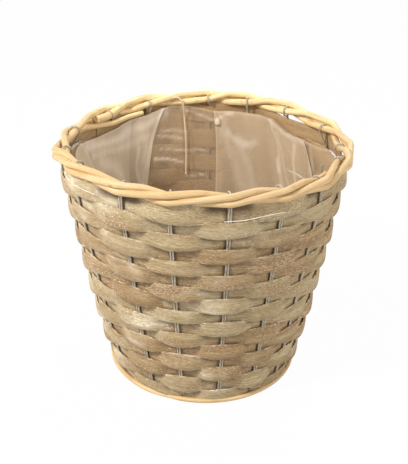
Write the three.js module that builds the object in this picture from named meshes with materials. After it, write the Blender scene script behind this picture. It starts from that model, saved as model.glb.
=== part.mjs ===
// A round wicker cachepot, in millimetres, +Z up, standing on z = 0 with the rim centred on the Z axis.
//
// Sixteen rows of split-wood strip are woven over one and under one round sixteen stakes. Each stake is a
// doubled galvanised wire. A wire runs up one stake, round an eye that holds a willow rod of the rim, down
// again, across the floor and up the stake opposite. A willow hoop is the foot, seven rows of narrow strip
// fill the floor, and a clear film liner is tagged inside.
import * as THREE from 'three';

const clearance = 0.3; // between pieces that touch

// Wall: the line that the wires follow, straight from the floor's bend up to the top row
const wallFootRadius = 80.5;
const wallTopRadius = 113.8;
const wallHeight = 179.35; // to the middle of the top row
const topSlopeShare = 0.25; // the eyes pull the stakes in: above the second row the wall spreads less
const footShift = 5.3; // the hand-woven wall leans: its foot stands this far to the right of the rim

// Stakes: the shares say how far each stands off its even place, in stake spacings
const stakeCount = 16;
const firstStakeDegrees = -128.5;
const stakeShiftShares = [
  0.36, 0.21, 0.17, 0.08, -0.03, -0.03, -0.33, -0.25, -0.11, -0.19, -0.35, -0.07, -0.1, 0.13, 0.31, 0.18,
];
const wireRadius = 0.7;
const legOffset = 0.87; // from a stake's centre line to each of its two legs
const wireSides = 5;

// Woven strips of the wall
const usualRowPitch = 11.5; // as many rows are woven as fit the wall's height best
const stripThickness = 1;
const stripHalfWidth = 6.9; // at a stake, where the strip shows its full width
const stripSlack = 0.7; // the springy strip stands this far off the wire
const stationsPerStake = 3;

// Floor
const floorWireHeight = 3.2;
const bendRadius = 5.5;
const floorRowCount = 7;
const floorFirstRadius = 28;
const floorStripThickness = 0.8;
const floorSlack = 0.6;
const slathHalfWidth = 8; // half the side of the square where the two layers of wires cross
const fanRadius = 19; // where each wire has spread out to its own stake's direction

// Foot hoop: one rod, worn flat underneath
const hoopRodRadius = 2.6;
const hoopSides = 8;
const hoopSteps = 32;

// Rim: three willow rods in one three-rod wale
const rodRadius = 2.6;
const rodSides = 6;
const rodStepsPerStake = 4;
const eyeInset = 4.4; // the rod in an eye lies this far inside the wires' line
const eyeSlack = 0.7; // room for a rod that slants through its eye
const crownStandOff = 0.4; // a rod stands this much prouder half way between its two outside stakes
const rimLift = 1.7; // from the top row's upper edge to the lowest rod
const dipDrop = 3.4; // a rod leaving an eye dips this far below the rim's middle
const eyeDrop = 1; // the rod in an eye lies this far below the rim's middle
const leadInset = 4.1; // a new rod starts this far inside the rod in the eye over it
const leadDrop = 7.4; // and this far below the rim's middle
const eyeStepDegrees = 45;

// Clear film liner
const filmThickness = 0.5;
const filmClearance = 0.4;
const filmCornerRadius = 6;
const filmLift = 0.65; // from the middle of the top row up to the film's edge
const filmSegments = 48;
const filmWallRings = 5;
const foldHalfWidthShare = 0.62; // of a stake spacing
const foldStartShare = 0.3; // of the film's height: the folds fade out below it
// The film is gathered at every second stake, counted from the first: it stands inward there
const foldDepthLimit = 6;
const foldPlaces = [1, 3, 5, 7, 9, 11, 13, 15];
const foldDepthShares = [0.58, 0.53, 0.53, 0.83, 0.7, 0.77, 1, 0.57];
// and its edge hangs lower at four places, counted in stakes from the first
const dipDepthLimit = 6;
const dipPlaces = [3.2, 7.5, 9.8, 12.5];
const dipDepthShares = [0.67, 1, 0.83, 0.5];

// Nylon tag pins that hold the film. The places are in stakes from the first.
const pinRadius = 0.4;
const pinSides = 5;
const paddleHalfWidth = 1.7;
const longPinPlace = 10.47;
const longPinLength = 53; // from the film's edge down to its paddle
const longPinDropShares = [1, 0.96, 0.75, 0.53, 0.26, 0.02];
const shortPinPlace = 9.72;
const shortPinLength = 11;
const shortPinDropShares = [1, 0.5, 0.3];
const sidePinPlaces = [14.3, 14.6, 15, 15.3, 15.55];
const sidePinHeight = 5.8; // from the middle of the top row up to its higher end
const sidePinHeightShares = [1, 0.72, 0.45, 0.28, 0.21];

const stakeStep = THREE.MathUtils.degToRad(360 / stakeCount);

// Heights, from the floor up. The lowest row stands half behind the hoop. It stops above the hoop, and above
// the place where the wires bend in under it.
const wallAmplitude = wireRadius + stripSlack + stripThickness / 2;
const hoopMiddle = hoopRodRadius * Math.cos(Math.PI / hoopSides);
const hoopTop = hoopMiddle + hoopRodRadius;
const bendHeight = floorWireHeight + bendRadius;
const insideBend = bendRadius - wireRadius - clearance;
const stripInBend = bendRadius - wallAmplitude + stripThickness / 2;
const edgeInBend = bendHeight - Math.sqrt(insideBend ** 2 - stripInBend ** 2);
const lowestEdge = Math.max(hoopTop + clearance, edgeInBend);
const rowCount = Math.round((wallHeight - lowestEdge) / usualRowPitch) + 1;
const rowPitch = (wallHeight - lowestEdge) / (rowCount - 1);
const crossHalfWidth = (rowPitch - clearance) / 2; // between stakes, where a strip just clears its neighbours
const filmTopHeight = wallHeight + filmLift;

const wallSlope = (wallTopRadius - wallFootRadius) / wallHeight;
const wallTilt = Math.atan(wallSlope);
const alongWall = new THREE.Vector2(Math.sin(wallTilt), Math.cos(wallTilt));
const outOfWall = new THREE.Vector2(Math.cos(wallTilt), -Math.sin(wallTilt));
const topTilt = Math.atan(wallSlope * topSlopeShare);
const alongTop = new THREE.Vector2(Math.sin(topTilt), Math.cos(topTilt));
const outOfTop = new THREE.Vector2(Math.cos(topTilt), -Math.sin(topTilt));
const kneeHeight = wallHeight - rowPitch + stripHalfWidth * alongWall.y + clearance;
const topRowUpperEdge = wallHeight + crossHalfWidth * alongTop.y;

function wallRadius(height) {
  const above = Math.max(0, height - kneeHeight);
  return wallFootRadius + wallSlope * (height - above * (1 - topSlopeShare));
}

const materials = {
  splitwood: new THREE.MeshStandardMaterial({ color: 0xb39a78, roughness: 0.85, metalness: 0 }),
  willow: new THREE.MeshStandardMaterial({ color: 0xe8cb92, roughness: 0.6, metalness: 0 }),
  wire: new THREE.MeshStandardMaterial({ color: 0x9a9790, roughness: 0.4, metalness: 0.9 }),
  film: new THREE.MeshStandardMaterial({ color: 0xcdbfae, roughness: 0.3, transparent: true, opacity: 0.35 }),
  nylon: new THREE.MeshStandardMaterial({ color: 0xeae4dc, roughness: 0.35, metalness: 0 }),
};

// The angle of stake k, and of any place between two stakes. Counting goes on past one turn.
function stakeAngle(k) {
  const share = stakeShiftShares[((k % stakeCount) + stakeCount) % stakeCount % stakeShiftShares.length];
  return THREE.MathUtils.degToRad(firstStakeDegrees) + (k + share) * stakeStep;
}

function angleAt(place) {
  const k = Math.floor(place);
  return THREE.MathUtils.lerp(stakeAngle(k), stakeAngle(k + 1), place - k);
}

function polar(radius, height, angle) {
  return new THREE.Vector3(radius * Math.cos(angle), radius * Math.sin(angle), height);
}

// The lean of the whole basket: level slices slide sideways, the foot most and the rim not at all.
const rimMiddle = topRowUpperEdge + rimLift + 2 * rodRadius + clearance / 2;
const lean = new THREE.Matrix4();
lean.set(1, 0, -footShift / rimMiddle, footShift, 0, 1, 0, 0, 0, 0, 1, 0, 0, 0, 0, 1);

const cachepot = new THREE.Group();

function addPiece(name, geometry, material) {
  geometry.applyMatrix4(lean);
  geometry.computeVertexNormals();
  const mesh = new THREE.Mesh(geometry, material);
  mesh.name = name;
  cachepot.add(mesh);
}

// A closed body from rings of points that all have the same number of corners, listed against the clock
// for someone who looks back along the way the rings go. It closes on itself or ends in two flat caps.
function bodyFromRings(rings, closesOnItself) {
  const sides = rings[0].length;
  const spans = closesOnItself ? rings.length : rings.length - 1;
  const index = [];
  for (let i = 0; i < spans; i++) {
    const here = i * sides;
    const next = ((i + 1) % rings.length) * sides;
    for (let a = 0; a < sides; a++) {
      const b = (a + 1) % sides;
      index.push(here + a, here + b, next + b);
      index.push(here + a, next + b, next + a);
    }
  }
  if (!closesOnItself) {
    const last = (rings.length - 1) * sides;
    for (let a = 1; a < sides - 1; a++) {
      index.push(0, a + 1, a);
      index.push(last, last + a, last + a + 1);
    }
  }
  const geometry = new THREE.BufferGeometry().setFromPoints(rings.flat());
  geometry.setIndex(index);
  return geometry;
}

// A bent wire or filament: a ring of corners at each point, square to the middle of the bend there.
// Its first points may be widened sideways into a paddle.
function bentWire(points, radius, sides, paddlePoints = 0) {
  const rings = [];
  const across = new THREE.Vector3(0, 0, 1).cross(points[0]).normalize();
  points.forEach((point, i) => {
    const before = points[Math.max(i - 1, 0)];
    const after = points[Math.min(i + 1, points.length - 1)];
    const toward = new THREE.Vector3().subVectors(point, before).normalize();
    const onward = new THREE.Vector3().subVectors(after, point).normalize();
    const way = new THREE.Vector3().addVectors(toward, onward).normalize();
    across.addScaledVector(way, -across.dot(way)).normalize();
    const third = new THREE.Vector3().crossVectors(way, across);
    const halfWidth = i < paddlePoints ? paddleHalfWidth : radius;
    const ring = [];
    for (let a = 0; a < sides; a++) {
      const turn = (2 * Math.PI * a) / sides;
      const corner = point.clone();
      corner.addScaledVector(across, halfWidth * Math.cos(turn));
      corner.addScaledVector(third, radius * Math.sin(turn));
      ring.push(corner);
    }
    rings.push(ring);
  });
  return bodyFromRings(rings, false);
}

// Strips. A row is a closed ring: outside the stakes whose number and row number add to an even number,
// and inside the others. It is widest at a stake and slips between its neighbours half way to the next.
function wovenRow(row) {
  const rings = [];
  for (let i = 0; i < stakeCount * row.stations; i++) {
    const place = i / row.stations;
    const angle = angleAt(place);
    const wave = Math.cos(Math.PI * (place + row.number));
    const open = Math.max(0, 2 * Math.abs(wave) - 1);
    const up = THREE.MathUtils.lerp(row.crossUp, row.up, open);
    const down = THREE.MathUtils.lerp(row.crossDown, row.down, open);
    const corners = [[-down, -1], [up, -1], [up, 1], [-down, 1]];
    rings.push(corners.map(([along, side]) => {
      const off = row.amplitude * wave + (side * row.thickness) / 2;
      const radius = row.radius + along * row.along.x + off * row.out.x;
      const height = row.height + along * row.along.y + off * row.out.y;
      return polar(radius, height, angle);
    }));
  }
  return bodyFromRings(rings, true);
}

function wallRow(number) {
  const height = wallHeight - (number - 1) * rowPitch;
  const toLowest = (height - lowestEdge) / alongWall.y;
  const isTop = number === 1;
  return {
    number,
    height,
    radius: wallRadius(height),
    along: isTop ? alongTop : alongWall,
    out: isTop ? outOfTop : outOfWall,
    up: isTop ? crossHalfWidth : stripHalfWidth,
    crossUp: crossHalfWidth,
    down: Math.min(stripHalfWidth, toLowest),
    crossDown: Math.min(crossHalfWidth, toLowest),
    thickness: stripThickness,
    amplitude: wallAmplitude,
    stations: stationsPerStake,
  };
}

for (let number = 1; number <= rowCount; number++) {
  const name = `wall_strip_${String(number).padStart(2, '0')}`;
  addPiece(name, wovenRow(wallRow(number)), materials.splitwood);
}

// Floor rows: the same weave laid flat, its outside underneath. They fill the floor out to the wires' bend.
const bendCentreRadius = wallRadius(bendHeight) - bendRadius / Math.cos(wallTilt);
const floorPitch = (bendCentreRadius - clearance - floorFirstRadius) / (floorRowCount - 1 / 2);
const floorHalfWidth = floorPitch / 2;
const floorCrossHalfWidth = floorHalfWidth - clearance;
const floorAmplitude = wireRadius + floorSlack + floorStripThickness / 2;
for (let i = 0; i < floorRowCount; i++) {
  const row = {
    number: rowCount + floorRowCount - i,
    height: floorWireHeight,
    radius: floorFirstRadius + i * floorPitch,
    along: new THREE.Vector2(1, 0),
    out: new THREE.Vector2(0, -1),
    up: floorHalfWidth,
    crossUp: floorCrossHalfWidth,
    down: floorHalfWidth,
    crossDown: floorCrossHalfWidth,
    thickness: floorStripThickness,
    amplitude: floorAmplitude,
    stations: stationsPerStake - 1,
  };
  addPiece(`floor_strip_${i + 1}`, wovenRow(row), materials.splitwood);
}

// Foot hoop, under and outside the wires' bend from the floor to the wall
const hoopReach = bendRadius + wireRadius + hoopRodRadius + clearance;
const hoopRadius = bendCentreRadius + Math.sqrt(hoopReach ** 2 - (bendHeight - hoopMiddle) ** 2);

function footHoop() {
  const profile = [];
  for (let a = 0; a <= hoopSides; a++) {
    const turn = (2 * Math.PI * (a + 0.5)) / hoopSides;
    const corner = new THREE.Vector2(hoopRadius, hoopMiddle);
    corner.x += hoopRodRadius * Math.cos(turn);
    corner.y += hoopRodRadius * Math.sin(turn);
    profile.push(corner);
  }
  profile[hoopSides].copy(profile[0]);
  const hoop = new THREE.LatheGeometry(profile, hoopSteps);
  hoop.rotateX(Math.PI / 2);
  return hoop;
}

addPiece('foot_hoop', footHoop(), materials.willow);

// Rim. A strand passes inside at one stake, in its eye, then outside low and outside high at the next two.
const eyeRadius = wallRadius(topRowUpperEdge) - eyeInset;
const eyeReach = rodRadius + eyeSlack + wireRadius; // from the rod in an eye to the wire round it
const outsideRadius = eyeRadius + 2 * eyeReach;
const crossRadius = eyeRadius + eyeReach;
const lowHeight = rimMiddle - rodRadius - clearance / 2;
const highHeight = rimMiddle + rodRadius + clearance / 2;
const eyeHeight = rimMiddle - eyeDrop;
const strandTurn = [
  { radius: eyeRadius, height: eyeHeight },
  { radius: crossRadius, height: rimMiddle - dipDrop },
  { radius: outsideRadius, height: lowHeight },
  { radius: outsideRadius + crownStandOff, height: rimMiddle },
  { radius: outsideRadius, height: highHeight },
  { radius: crossRadius, height: rimMiddle + dipDrop },
];

function strandPoint(halfStake) {
  const at = strandTurn[halfStake % strandTurn.length];
  return polar(at.radius, at.height, angleAt(halfStake / 2));
}

// The strand goes round three times. It is cut just past an eye three times, so it is three rods, and
// each rod starts inside, beside and below the end of the rod before it.
const rodEnds = [12, 36, 48];
const endPastEyeShare = 0.1; // of a stake spacing
const leadPlaceShares = [-0.85, -0.45, 0];

function rimRod(firstEye, lastEye) {
  const points = leadPlaceShares.map((share) => {
    return polar(eyeRadius - leadInset, rimMiddle - leadDrop, angleAt(firstEye + share));
  });
  for (let halfStake = 2 * firstEye + 1; halfStake <= 2 * lastEye; halfStake++) {
    points.push(strandPoint(halfStake));
  }
  const end = strandPoint(2 * lastEye).lerp(strandPoint(2 * lastEye + 1), 2 * endPastEyeShare);
  points.push(end);
  const section = new THREE.Shape();
  for (let a = 0; a < rodSides; a++) {
    const turn = (2 * Math.PI * a) / rodSides;
    const corner = [rodRadius * Math.cos(turn), rodRadius * Math.sin(turn)];
    if (a === 0) section.moveTo(...corner);
    else section.lineTo(...corner);
  }
  const settings = {
    steps: (lastEye - firstEye + 1) * rodStepsPerStake,
    bevelEnabled: false,
    extrudePath: new THREE.CatmullRomCurve3(points, false, 'centripetal'),
  };
  return new THREE.ExtrudeGeometry(section, settings);
}

rodEnds.forEach((lastEye, i) => {
  const firstEye = i === 0 ? rodEnds[rodEnds.length - 1] - 3 * stakeCount : rodEnds[i - 1];
  addPiece(`rim_rod_${i + 1}`, rimRod(firstEye, lastEye), materials.willow);
});

// Wires. A leg goes from the floor's middle out to the bend, up the wall and to one side of its eye.
const wallBendEnd = new THREE.Vector2(bendCentreRadius, bendHeight).addScaledVector(outOfWall, bendRadius);
const bendHalfway = (Math.PI / 2 - wallTilt) / 2;
function wirePoint(radius, height, aside, angle) {
  const point = polar(radius, height, angle);
  point.x -= aside * Math.sin(angle);
  point.y += aside * Math.cos(angle);
  return point;
}

// side is -1 for the leg on the inner side of the eye and +1 for the leg on the outer side. Where the top
// strip passes inside the stake, the legs stay together up to its upper edge. Elsewhere they part below it.
function leg(stake, side, crossing) {
  const angle = stakeAngle(stake);
  const aside = side * legOffset;
  const bendX = bendCentreRadius + bendRadius * Math.sin(bendHalfway);
  const bendZ = bendHeight - bendRadius * Math.cos(bendHalfway);
  const points = [
    crossing,
    wirePoint(fanRadius, floorWireHeight, aside, angle),
    wirePoint(bendCentreRadius, floorWireHeight, aside, angle),
    wirePoint(bendX, bendZ, aside, angle),
    wirePoint(wallBendEnd.x, wallBendEnd.y, aside, angle),
    wirePoint(wallRadius(kneeHeight), kneeHeight, aside, angle),
  ];
  if (stake % 2 === 0) points.push(wirePoint(wallRadius(topRowUpperEdge), topRowUpperEdge, aside, angle));
  return points;
}

// The wire goes round the rod in its eye, from the bottom where the legs come up together, or from the
// inner side where they have parted.
function eyeArc(stake) {
  const arc = [];
  const startDegrees = stake % 2 === 0 ? 270 : 180;
  for (let degrees = startDegrees; degrees >= 0; degrees -= eyeStepDegrees) {
    const turn = THREE.MathUtils.degToRad(degrees);
    const aside = legOffset * (1 - (2 * degrees) / startDegrees);
    const radius = eyeRadius + eyeReach * Math.cos(turn);
    arc.push(wirePoint(radius, eyeHeight + eyeReach * Math.sin(turn), aside, stakeAngle(stake)));
  }
  return arc;
}

// Each wire joins two stakes that face each other. Half the wires cross the floor in one layer and half in
// the layer over it, side by side, then fan out to their stakes.
const wireCount = stakeCount / 2;
const layerCount = wireCount / 2;
const laneWidth = 2 * legOffset + 2 * wireRadius + clearance;

function crossingPoint(layer, lane, side, end) {
  const forward = (stakeAngle(layer * layerCount) + stakeAngle(layer * layerCount + layerCount - 1)) / 2;
  const across = (lane - (layerCount - 1) / 2) * laneWidth + side * legOffset;
  const height = floorWireHeight + (layer === 0 ? -1 : 1) * (wireRadius + clearance / 2);
  const out = end * slathHalfWidth;
  const x = out * Math.cos(forward) - across * Math.sin(forward);
  const y = out * Math.sin(forward) + across * Math.cos(forward);
  return new THREE.Vector3(x, y, height);
}

function stakeWire(layer, lane) {
  const near = layer * layerCount + lane;
  const far = wireCount + layer * layerCount + layerCount - 1 - lane;
  const start = crossingPoint(layer, lane, -1, 0);
  start.lerp(crossingPoint(layer, lane, -1, 1), clearance / slathHalfWidth);
  const finish = crossingPoint(layer, lane, -1, 0);
  const points = [
    start,
    ...leg(near, -1, crossingPoint(layer, lane, -1, 1)),
    ...eyeArc(near),
    ...leg(near, 1, crossingPoint(layer, lane, 1, 1)).reverse(),
    ...leg(far, -1, crossingPoint(layer, lane, 1, -1)),
    ...eyeArc(far),
    ...leg(far, 1, crossingPoint(layer, lane, -1, -1)).reverse(),
    finish,
  ];
  return bentWire(points, wireRadius, wireSides);
}

for (let layer = 0; layer < 2; layer++) {
  for (let lane = 0; lane < layerCount; lane++) {
    addPiece(`stake_wire_${layer * layerCount + lane + 1}`, stakeWire(layer, lane), materials.wire);
  }
}

// Film liner: a closed shell with an open top, gathered in folds near its edge
const filmStandOff = wallAmplitude + stripThickness / 2 + filmClearance;
const filmFloorHeight = floorWireHeight + floorAmplitude + floorStripThickness / 2 + filmClearance;

const filmSlope = (wallRadius(filmTopHeight) - wallFootRadius) / filmTopHeight;

function filmRadius(height, inset) {
  return wallFootRadius + filmSlope * height - (filmStandOff + inset) / Math.cos(wallTilt);
}

function filmSurface(inset) {
  const floorHeight = filmFloorHeight + inset;
  const corner = filmCornerRadius - inset;
  const centre = new THREE.Vector2(0, floorHeight + corner);
  centre.x = filmRadius(centre.y, inset) - corner / Math.cos(wallTilt);
  const points = [new THREE.Vector2(0, floorHeight), new THREE.Vector2(centre.x, floorHeight)];
  const halfway = new THREE.Vector2(Math.sin(bendHalfway), -Math.cos(bendHalfway));
  points.push(centre.clone().addScaledVector(halfway, corner));
  const wallStart = centre.clone().addScaledVector(outOfWall, corner);
  for (let i = 0; i <= filmWallRings; i++) {
    const height = THREE.MathUtils.lerp(wallStart.y, filmTopHeight, i / filmWallRings);
    points.push(new THREE.Vector2(filmRadius(height, inset), height));
  }
  return points;
}

// How much of a fold or dip is felt at a place round the wall, from 1 in its middle to 0 at its edge
function shareOfFold(place, foldPlace) {
  const half = stakeCount / 2;
  const apart = Math.abs(((place - foldPlace + 3 * half) % stakeCount) - half);
  return apart < foldHalfWidthShare ? Math.cos((Math.PI * apart) / (2 * foldHalfWidthShare)) ** 2 : 0;
}

function riseShare(height) {
  return Math.max(0, (height / filmTopHeight - foldStartShare) / (1 - foldStartShare));
}

function foldDepth(place, height) {
  const felt = foldDepthShares.map((share, i) => share * shareOfFold(place, foldPlaces[i]));
  return felt.reduce((sum, share) => sum + share) * foldDepthLimit * riseShare(height);
}

function edgeDrop(place, height) {
  const felt = dipDepthShares.map((share, i) => share * shareOfFold(place, dipPlaces[i]));
  return felt.reduce((sum, share) => sum + share) * dipDepthLimit * riseShare(height) ** 2;
}

function filmLiner() {
  const profile = [...filmSurface(0), ...filmSurface(filmThickness).reverse()];
  const film = new THREE.LatheGeometry(profile, filmSegments);
  film.rotateX(Math.PI / 2);
  const position = film.attributes.position;
  for (let i = 0; i < position.count; i++) {
    const point = new THREE.Vector3().fromBufferAttribute(position, i);
    const radius = Math.hypot(point.x, point.y);
    if (radius < bendCentreRadius / 2) continue;
    const turns = Math.atan2(point.y, point.x) / (2 * Math.PI);
    const place = (Math.round(turns * filmSegments) * stakeCount) / filmSegments;
    const inward = foldDepth(place, point.z);
    const drop = edgeDrop(place, point.z);
    const gathered = polar(radius - inward - drop * filmSlope, point.z - drop, angleAt(place));
    position.setXYZ(i, gathered.x, gathered.y, gathered.z);
  }
  return film;
}

addPiece('film_liner', filmLiner(), materials.film);

// Tag pins. Two hang inside the film and hook over the rod that comes down into the next eye. The third
// lies outside on the top strip, its end tucked under the rim.
const pinInset = filmThickness + clearance + pinRadius;

function insidePin(place, length, dropShares) {
  const angle = angleAt(place);
  const column = (place * filmSegments) / stakeCount;
  const points = dropShares.map((share) => {
    const height = filmTopHeight - length * share;
    const before = foldDepth((Math.floor(column) * stakeCount) / filmSegments, height);
    const after = foldDepth((Math.ceil(column) * stakeCount) / filmSegments, height);
    return polar(filmRadius(height, pinInset) - Math.max(before, after), height, angle);
  });
  // the rod that comes down into the next eye, and the one below it that leaves the eye before
  const halfStakes = 2 * (place - Math.floor(place));
  const step = Math.floor(halfStakes);
  const between = (from, to, key) => THREE.MathUtils.lerp(from[key], to[key], halfStakes - step);
  const coming = [strandTurn[4 + step], strandTurn[(5 + step) % strandTurn.length]];
  const leaving = [strandTurn[step], strandTurn[step + 1]];
  const overRadius = between(...coming, 'radius');
  const overHeight = between(...coming, 'height');
  const hook = rodRadius + eyeSlack + pinRadius;
  const neckRadius = Math.min(overRadius, between(...leaving, 'radius')) - hook;
  points.push(polar(neckRadius, overHeight - 2 * rodRadius, angle));
  for (let degrees = 180; degrees >= eyeStepDegrees; degrees -= eyeStepDegrees) {
    const turn = THREE.MathUtils.degToRad(degrees);
    points.push(polar(overRadius + hook * Math.cos(turn), overHeight + hook * Math.sin(turn), angle));
  }
  return bentWire(points, pinRadius, pinSides, 2);
}

function sidePin() {
  const standOff = wallAmplitude + stripThickness / 2 + clearance + pinRadius;
  const points = sidePinPlaces.map((place, i) => {
    const height = wallHeight + sidePinHeight * sidePinHeightShares[i];
    return polar(wallRadius(height) + standOff, height, angleAt(place));
  });
  return bentWire(points, pinRadius, pinSides);
}

addPiece('tag_pin_long', insidePin(longPinPlace, longPinLength, longPinDropShares), materials.nylon);
addPiece('tag_pin_short', insidePin(shortPinPlace, shortPinLength, shortPinDropShares), materials.nylon);
addPiece('tag_pin_side', sidePin(), materials.nylon);

export default cachepot;
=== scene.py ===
# %% [markdown]
# # A wicker cachepot
#
# A cachepot is a basket that hides a plain flower pot. This one is woven from split wood: willow rods
# riven into flat strips about a millimetre thick, left grey and rubbed with a little lime. They run over
# one and under one round sixteen stakes, and each stake is a doubled galvanised wire. Three peeled
# willow rods are twisted round the top, a fourth rod is the foot, and a clear film liner keeps the
# soil's water in.
#
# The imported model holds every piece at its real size. It is loaded first and never moved. What follows
# gives each woven piece a finely modelled stand-in that fills the same space.

# %% Load the fixed frame
import math

import bpy
import numpy as np
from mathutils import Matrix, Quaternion, Vector


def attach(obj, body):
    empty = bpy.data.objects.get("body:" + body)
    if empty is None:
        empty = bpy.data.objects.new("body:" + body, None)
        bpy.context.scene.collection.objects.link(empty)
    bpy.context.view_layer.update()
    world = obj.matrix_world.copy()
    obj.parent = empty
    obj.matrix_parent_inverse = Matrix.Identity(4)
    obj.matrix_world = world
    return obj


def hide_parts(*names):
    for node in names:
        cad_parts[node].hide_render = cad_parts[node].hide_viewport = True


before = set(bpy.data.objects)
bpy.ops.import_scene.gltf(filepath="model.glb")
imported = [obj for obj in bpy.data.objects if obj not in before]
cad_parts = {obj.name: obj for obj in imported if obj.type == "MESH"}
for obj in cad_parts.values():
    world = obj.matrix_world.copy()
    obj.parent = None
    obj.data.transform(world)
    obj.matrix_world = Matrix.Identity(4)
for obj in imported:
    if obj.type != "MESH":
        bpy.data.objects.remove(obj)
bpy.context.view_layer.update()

# %% [markdown]
# ## Sizes
#
# A basket is easiest to think of in its own measures. A *place* round the wall is counted in stakes, so
# 2.5 is half way from the third stake to the fourth, and a height is in millimetres over the table.
# The stakes are not evenly spaced, because a hand put them in, and the whole wall leans a little. These
# are the sizes that the solids were made from, so every piece below lands where its solid is. Only the
# oval is new: the photographed foot is a few millimetres narrower across than it is deep, and the solids
# have it round.

# %% Driving sizes
MM = 0.001
WALL_FOOT_RADIUS = 80.5
WALL_TOP_RADIUS = 113.8
WALL_HEIGHT = 179.35
TOP_SLOPE_SHARE = 0.25
FOOT_SHIFT = 5.3
FOOT_OVAL = (0.05, 0.025)
FOOT_OVAL_HEIGHT = 70.0
KNEE_OVER_SECOND_ROW = 7.1
STAKES = 16
FIRST_STAKE_DEGREES = -128.5
STAKE_SHIFT_SHARES = [
    0.36, 0.21, 0.17, 0.08, -0.03, -0.03, -0.33, -0.25, -0.11, -0.19, -0.35, -0.07, -0.1, 0.13, 0.31, 0.18,
]
ROWS = 16
ROW_PITCH = 11.5
STRIP_THICKNESS = 1.0
WIRE_RADIUS = 0.7
LEG_OFFSET = 0.87
ROD_RADIUS = 2.6
RIM_MIDDLE = 191.99
EYE_RADIUS = 109.0

wall_slope = (WALL_TOP_RADIUS - WALL_FOOT_RADIUS) / WALL_HEIGHT
wall_tilt = math.atan(wall_slope)
knee_height = WALL_HEIGHT - ROW_PITCH + KNEE_OVER_SECOND_ROW
rng = np.random.default_rng(16)
print("wall tilts", round(math.degrees(wall_tilt), 2), "degrees")

# %% Places round the wall
def wall_radius(height):
    """Radius of the wires' line at a height; it spreads less over the second row."""
    above = np.maximum(0, np.asarray(height, float) - knee_height)
    return WALL_FOOT_RADIUS + wall_slope * (height - above * (1 - TOP_SLOPE_SHARE))


def angle_at(place):
    """Angle of a place round the wall, which may count past one turn or below zero."""
    place = np.asarray(place, float)
    k = np.floor(place).astype(int)
    shifts = np.array(STAKE_SHIFT_SHARES)
    here = k + shifts[k % STAKES]
    there = k + 1 + shifts[(k + 1) % STAKES]
    return math.radians(FIRST_STAKE_DEGREES) + (here + (there - here) * (place - k)) * 2 * math.pi / STAKES


def points_at(radius, height, angle, aside=0.0):
    """Points in metres, with the lean and the oval. aside moves them against the clock, along the wall."""
    radius, height, angle = np.broadcast_arrays(*(np.asarray(a, float) for a in (radius, height, angle)))
    lean = FOOT_SHIFT * (1 - height / RIM_MIDDLE)
    low = np.clip(1 - height / FOOT_OVAL_HEIGHT, 0, 1) ** 2
    narrower, deeper = FOOT_OVAL
    x = (1 - narrower * low) * radius * np.cos(angle) - aside * np.sin(angle) + lean
    y = (1 + deeper * low) * radius * np.sin(angle) + aside * np.cos(angle)
    return np.stack([x, y, height], -1) * MM


middle = points_at(wall_radius(WALL_HEIGHT / 2), WALL_HEIGHT / 2, angle_at(0))
print("the first stake is half way up at", middle.round(4))

# %% [markdown]
# ## From rings of points to a mesh
#
# Strips, rods, wires and film are all the same kind of body: a section swept along a line. Blender's
# curves could sweep them, but a curve can't change its section as a woven strip does, so each body is
# built from rings of points. Every corner also gets a grain coordinate, how far it lies along and across
# the piece in metres, and the wood and film read their pattern from it. So the fibres follow the strip
# round every bend. A finished piece rides on the basket's one body, takes its material, and hides the
# solid that it stands for.

# %% Sweeping rings
def swept(rings, along, across, closed=False, section_open=False):
    """Vertices, faces and grain of a body swept through rings, an array of n rings of m points.

    A round body gives one value more for across than its rings have points, to end its last face."""
    n, m = rings.shape[:2]
    spans = n if closed else n - 1
    sides = m - 1 if section_open else m
    i, j = np.meshgrid(np.arange(spans), np.arange(sides), indexing="ij")
    here = i * m
    after = ((i + 1) % n) * m
    turn = (j + 1) % m
    faces = np.stack([here + j, here + turn, after + turn, after + j], -1).reshape(-1, 4)
    u = np.append(along, 2 * along[-1] - along[-2]) if closed else along
    lengthwise = np.stack([u[i], u[i], u[i + 1], u[i + 1]], -1)
    v = across[j + 1] if len(across) > m else across[turn]
    crosswise = np.stack([across[j], v, v, across[j]], -1)
    grain = np.stack([lengthwise, crosswise], -1).reshape(-1, 2)
    return rings.reshape(-1, 3), faces.tolist(), grain


def distance_along(line):
    """How far along a line each of its points lies."""
    return np.append(0, np.cumsum(np.linalg.norm(np.diff(line, axis=0), axis=1)))


def with_caps(body, m):
    """Closes both ends of a swept body with one face each."""
    points, faces, grain = body
    last = len(points) - m
    faces = faces + [list(range(m - 1, -1, -1)), list(range(last, last + m))]
    return points, faces, np.vstack([grain, np.zeros((2 * m, 2))])


print("a corner is", distance_along([(0, 0, 0), (3, 0, 0), (3, 4, 0)])[-1], "long")

# %% Making a piece
SHARP_ANGLE = math.radians(50)


def make_piece(name, body, material, stands_for, values=None):
    """A smooth mesh object that rides on the basket's one body and stands for the named nodes."""
    points, faces, grain = body
    mesh = bpy.data.meshes.new(name)
    mesh.from_pydata(points.tolist(), [], faces)
    mesh.uv_layers.new(name="grain").uv.foreach_set("vector", grain.astype(np.float32).ravel())
    for key, numbers in (values or {}).items():
        layer = mesh.attributes.new(key, "FLOAT", "POINT")
        layer.data.foreach_set("value", np.asarray(numbers, np.float32))
    mesh.polygons.foreach_set("use_smooth", np.ones(len(faces), bool))
    mesh.set_sharp_from_angle(angle=SHARP_ANGLE)
    mesh.materials.append(material)
    obj = bpy.data.objects.new(name, mesh)
    bpy.context.scene.collection.objects.link(obj)
    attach(obj, "root")
    if stands_for:
        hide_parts(*stands_for)
    return obj


print("edges sharper than", round(math.degrees(SHARP_ANGLE)), "degrees stay sharp")

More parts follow.
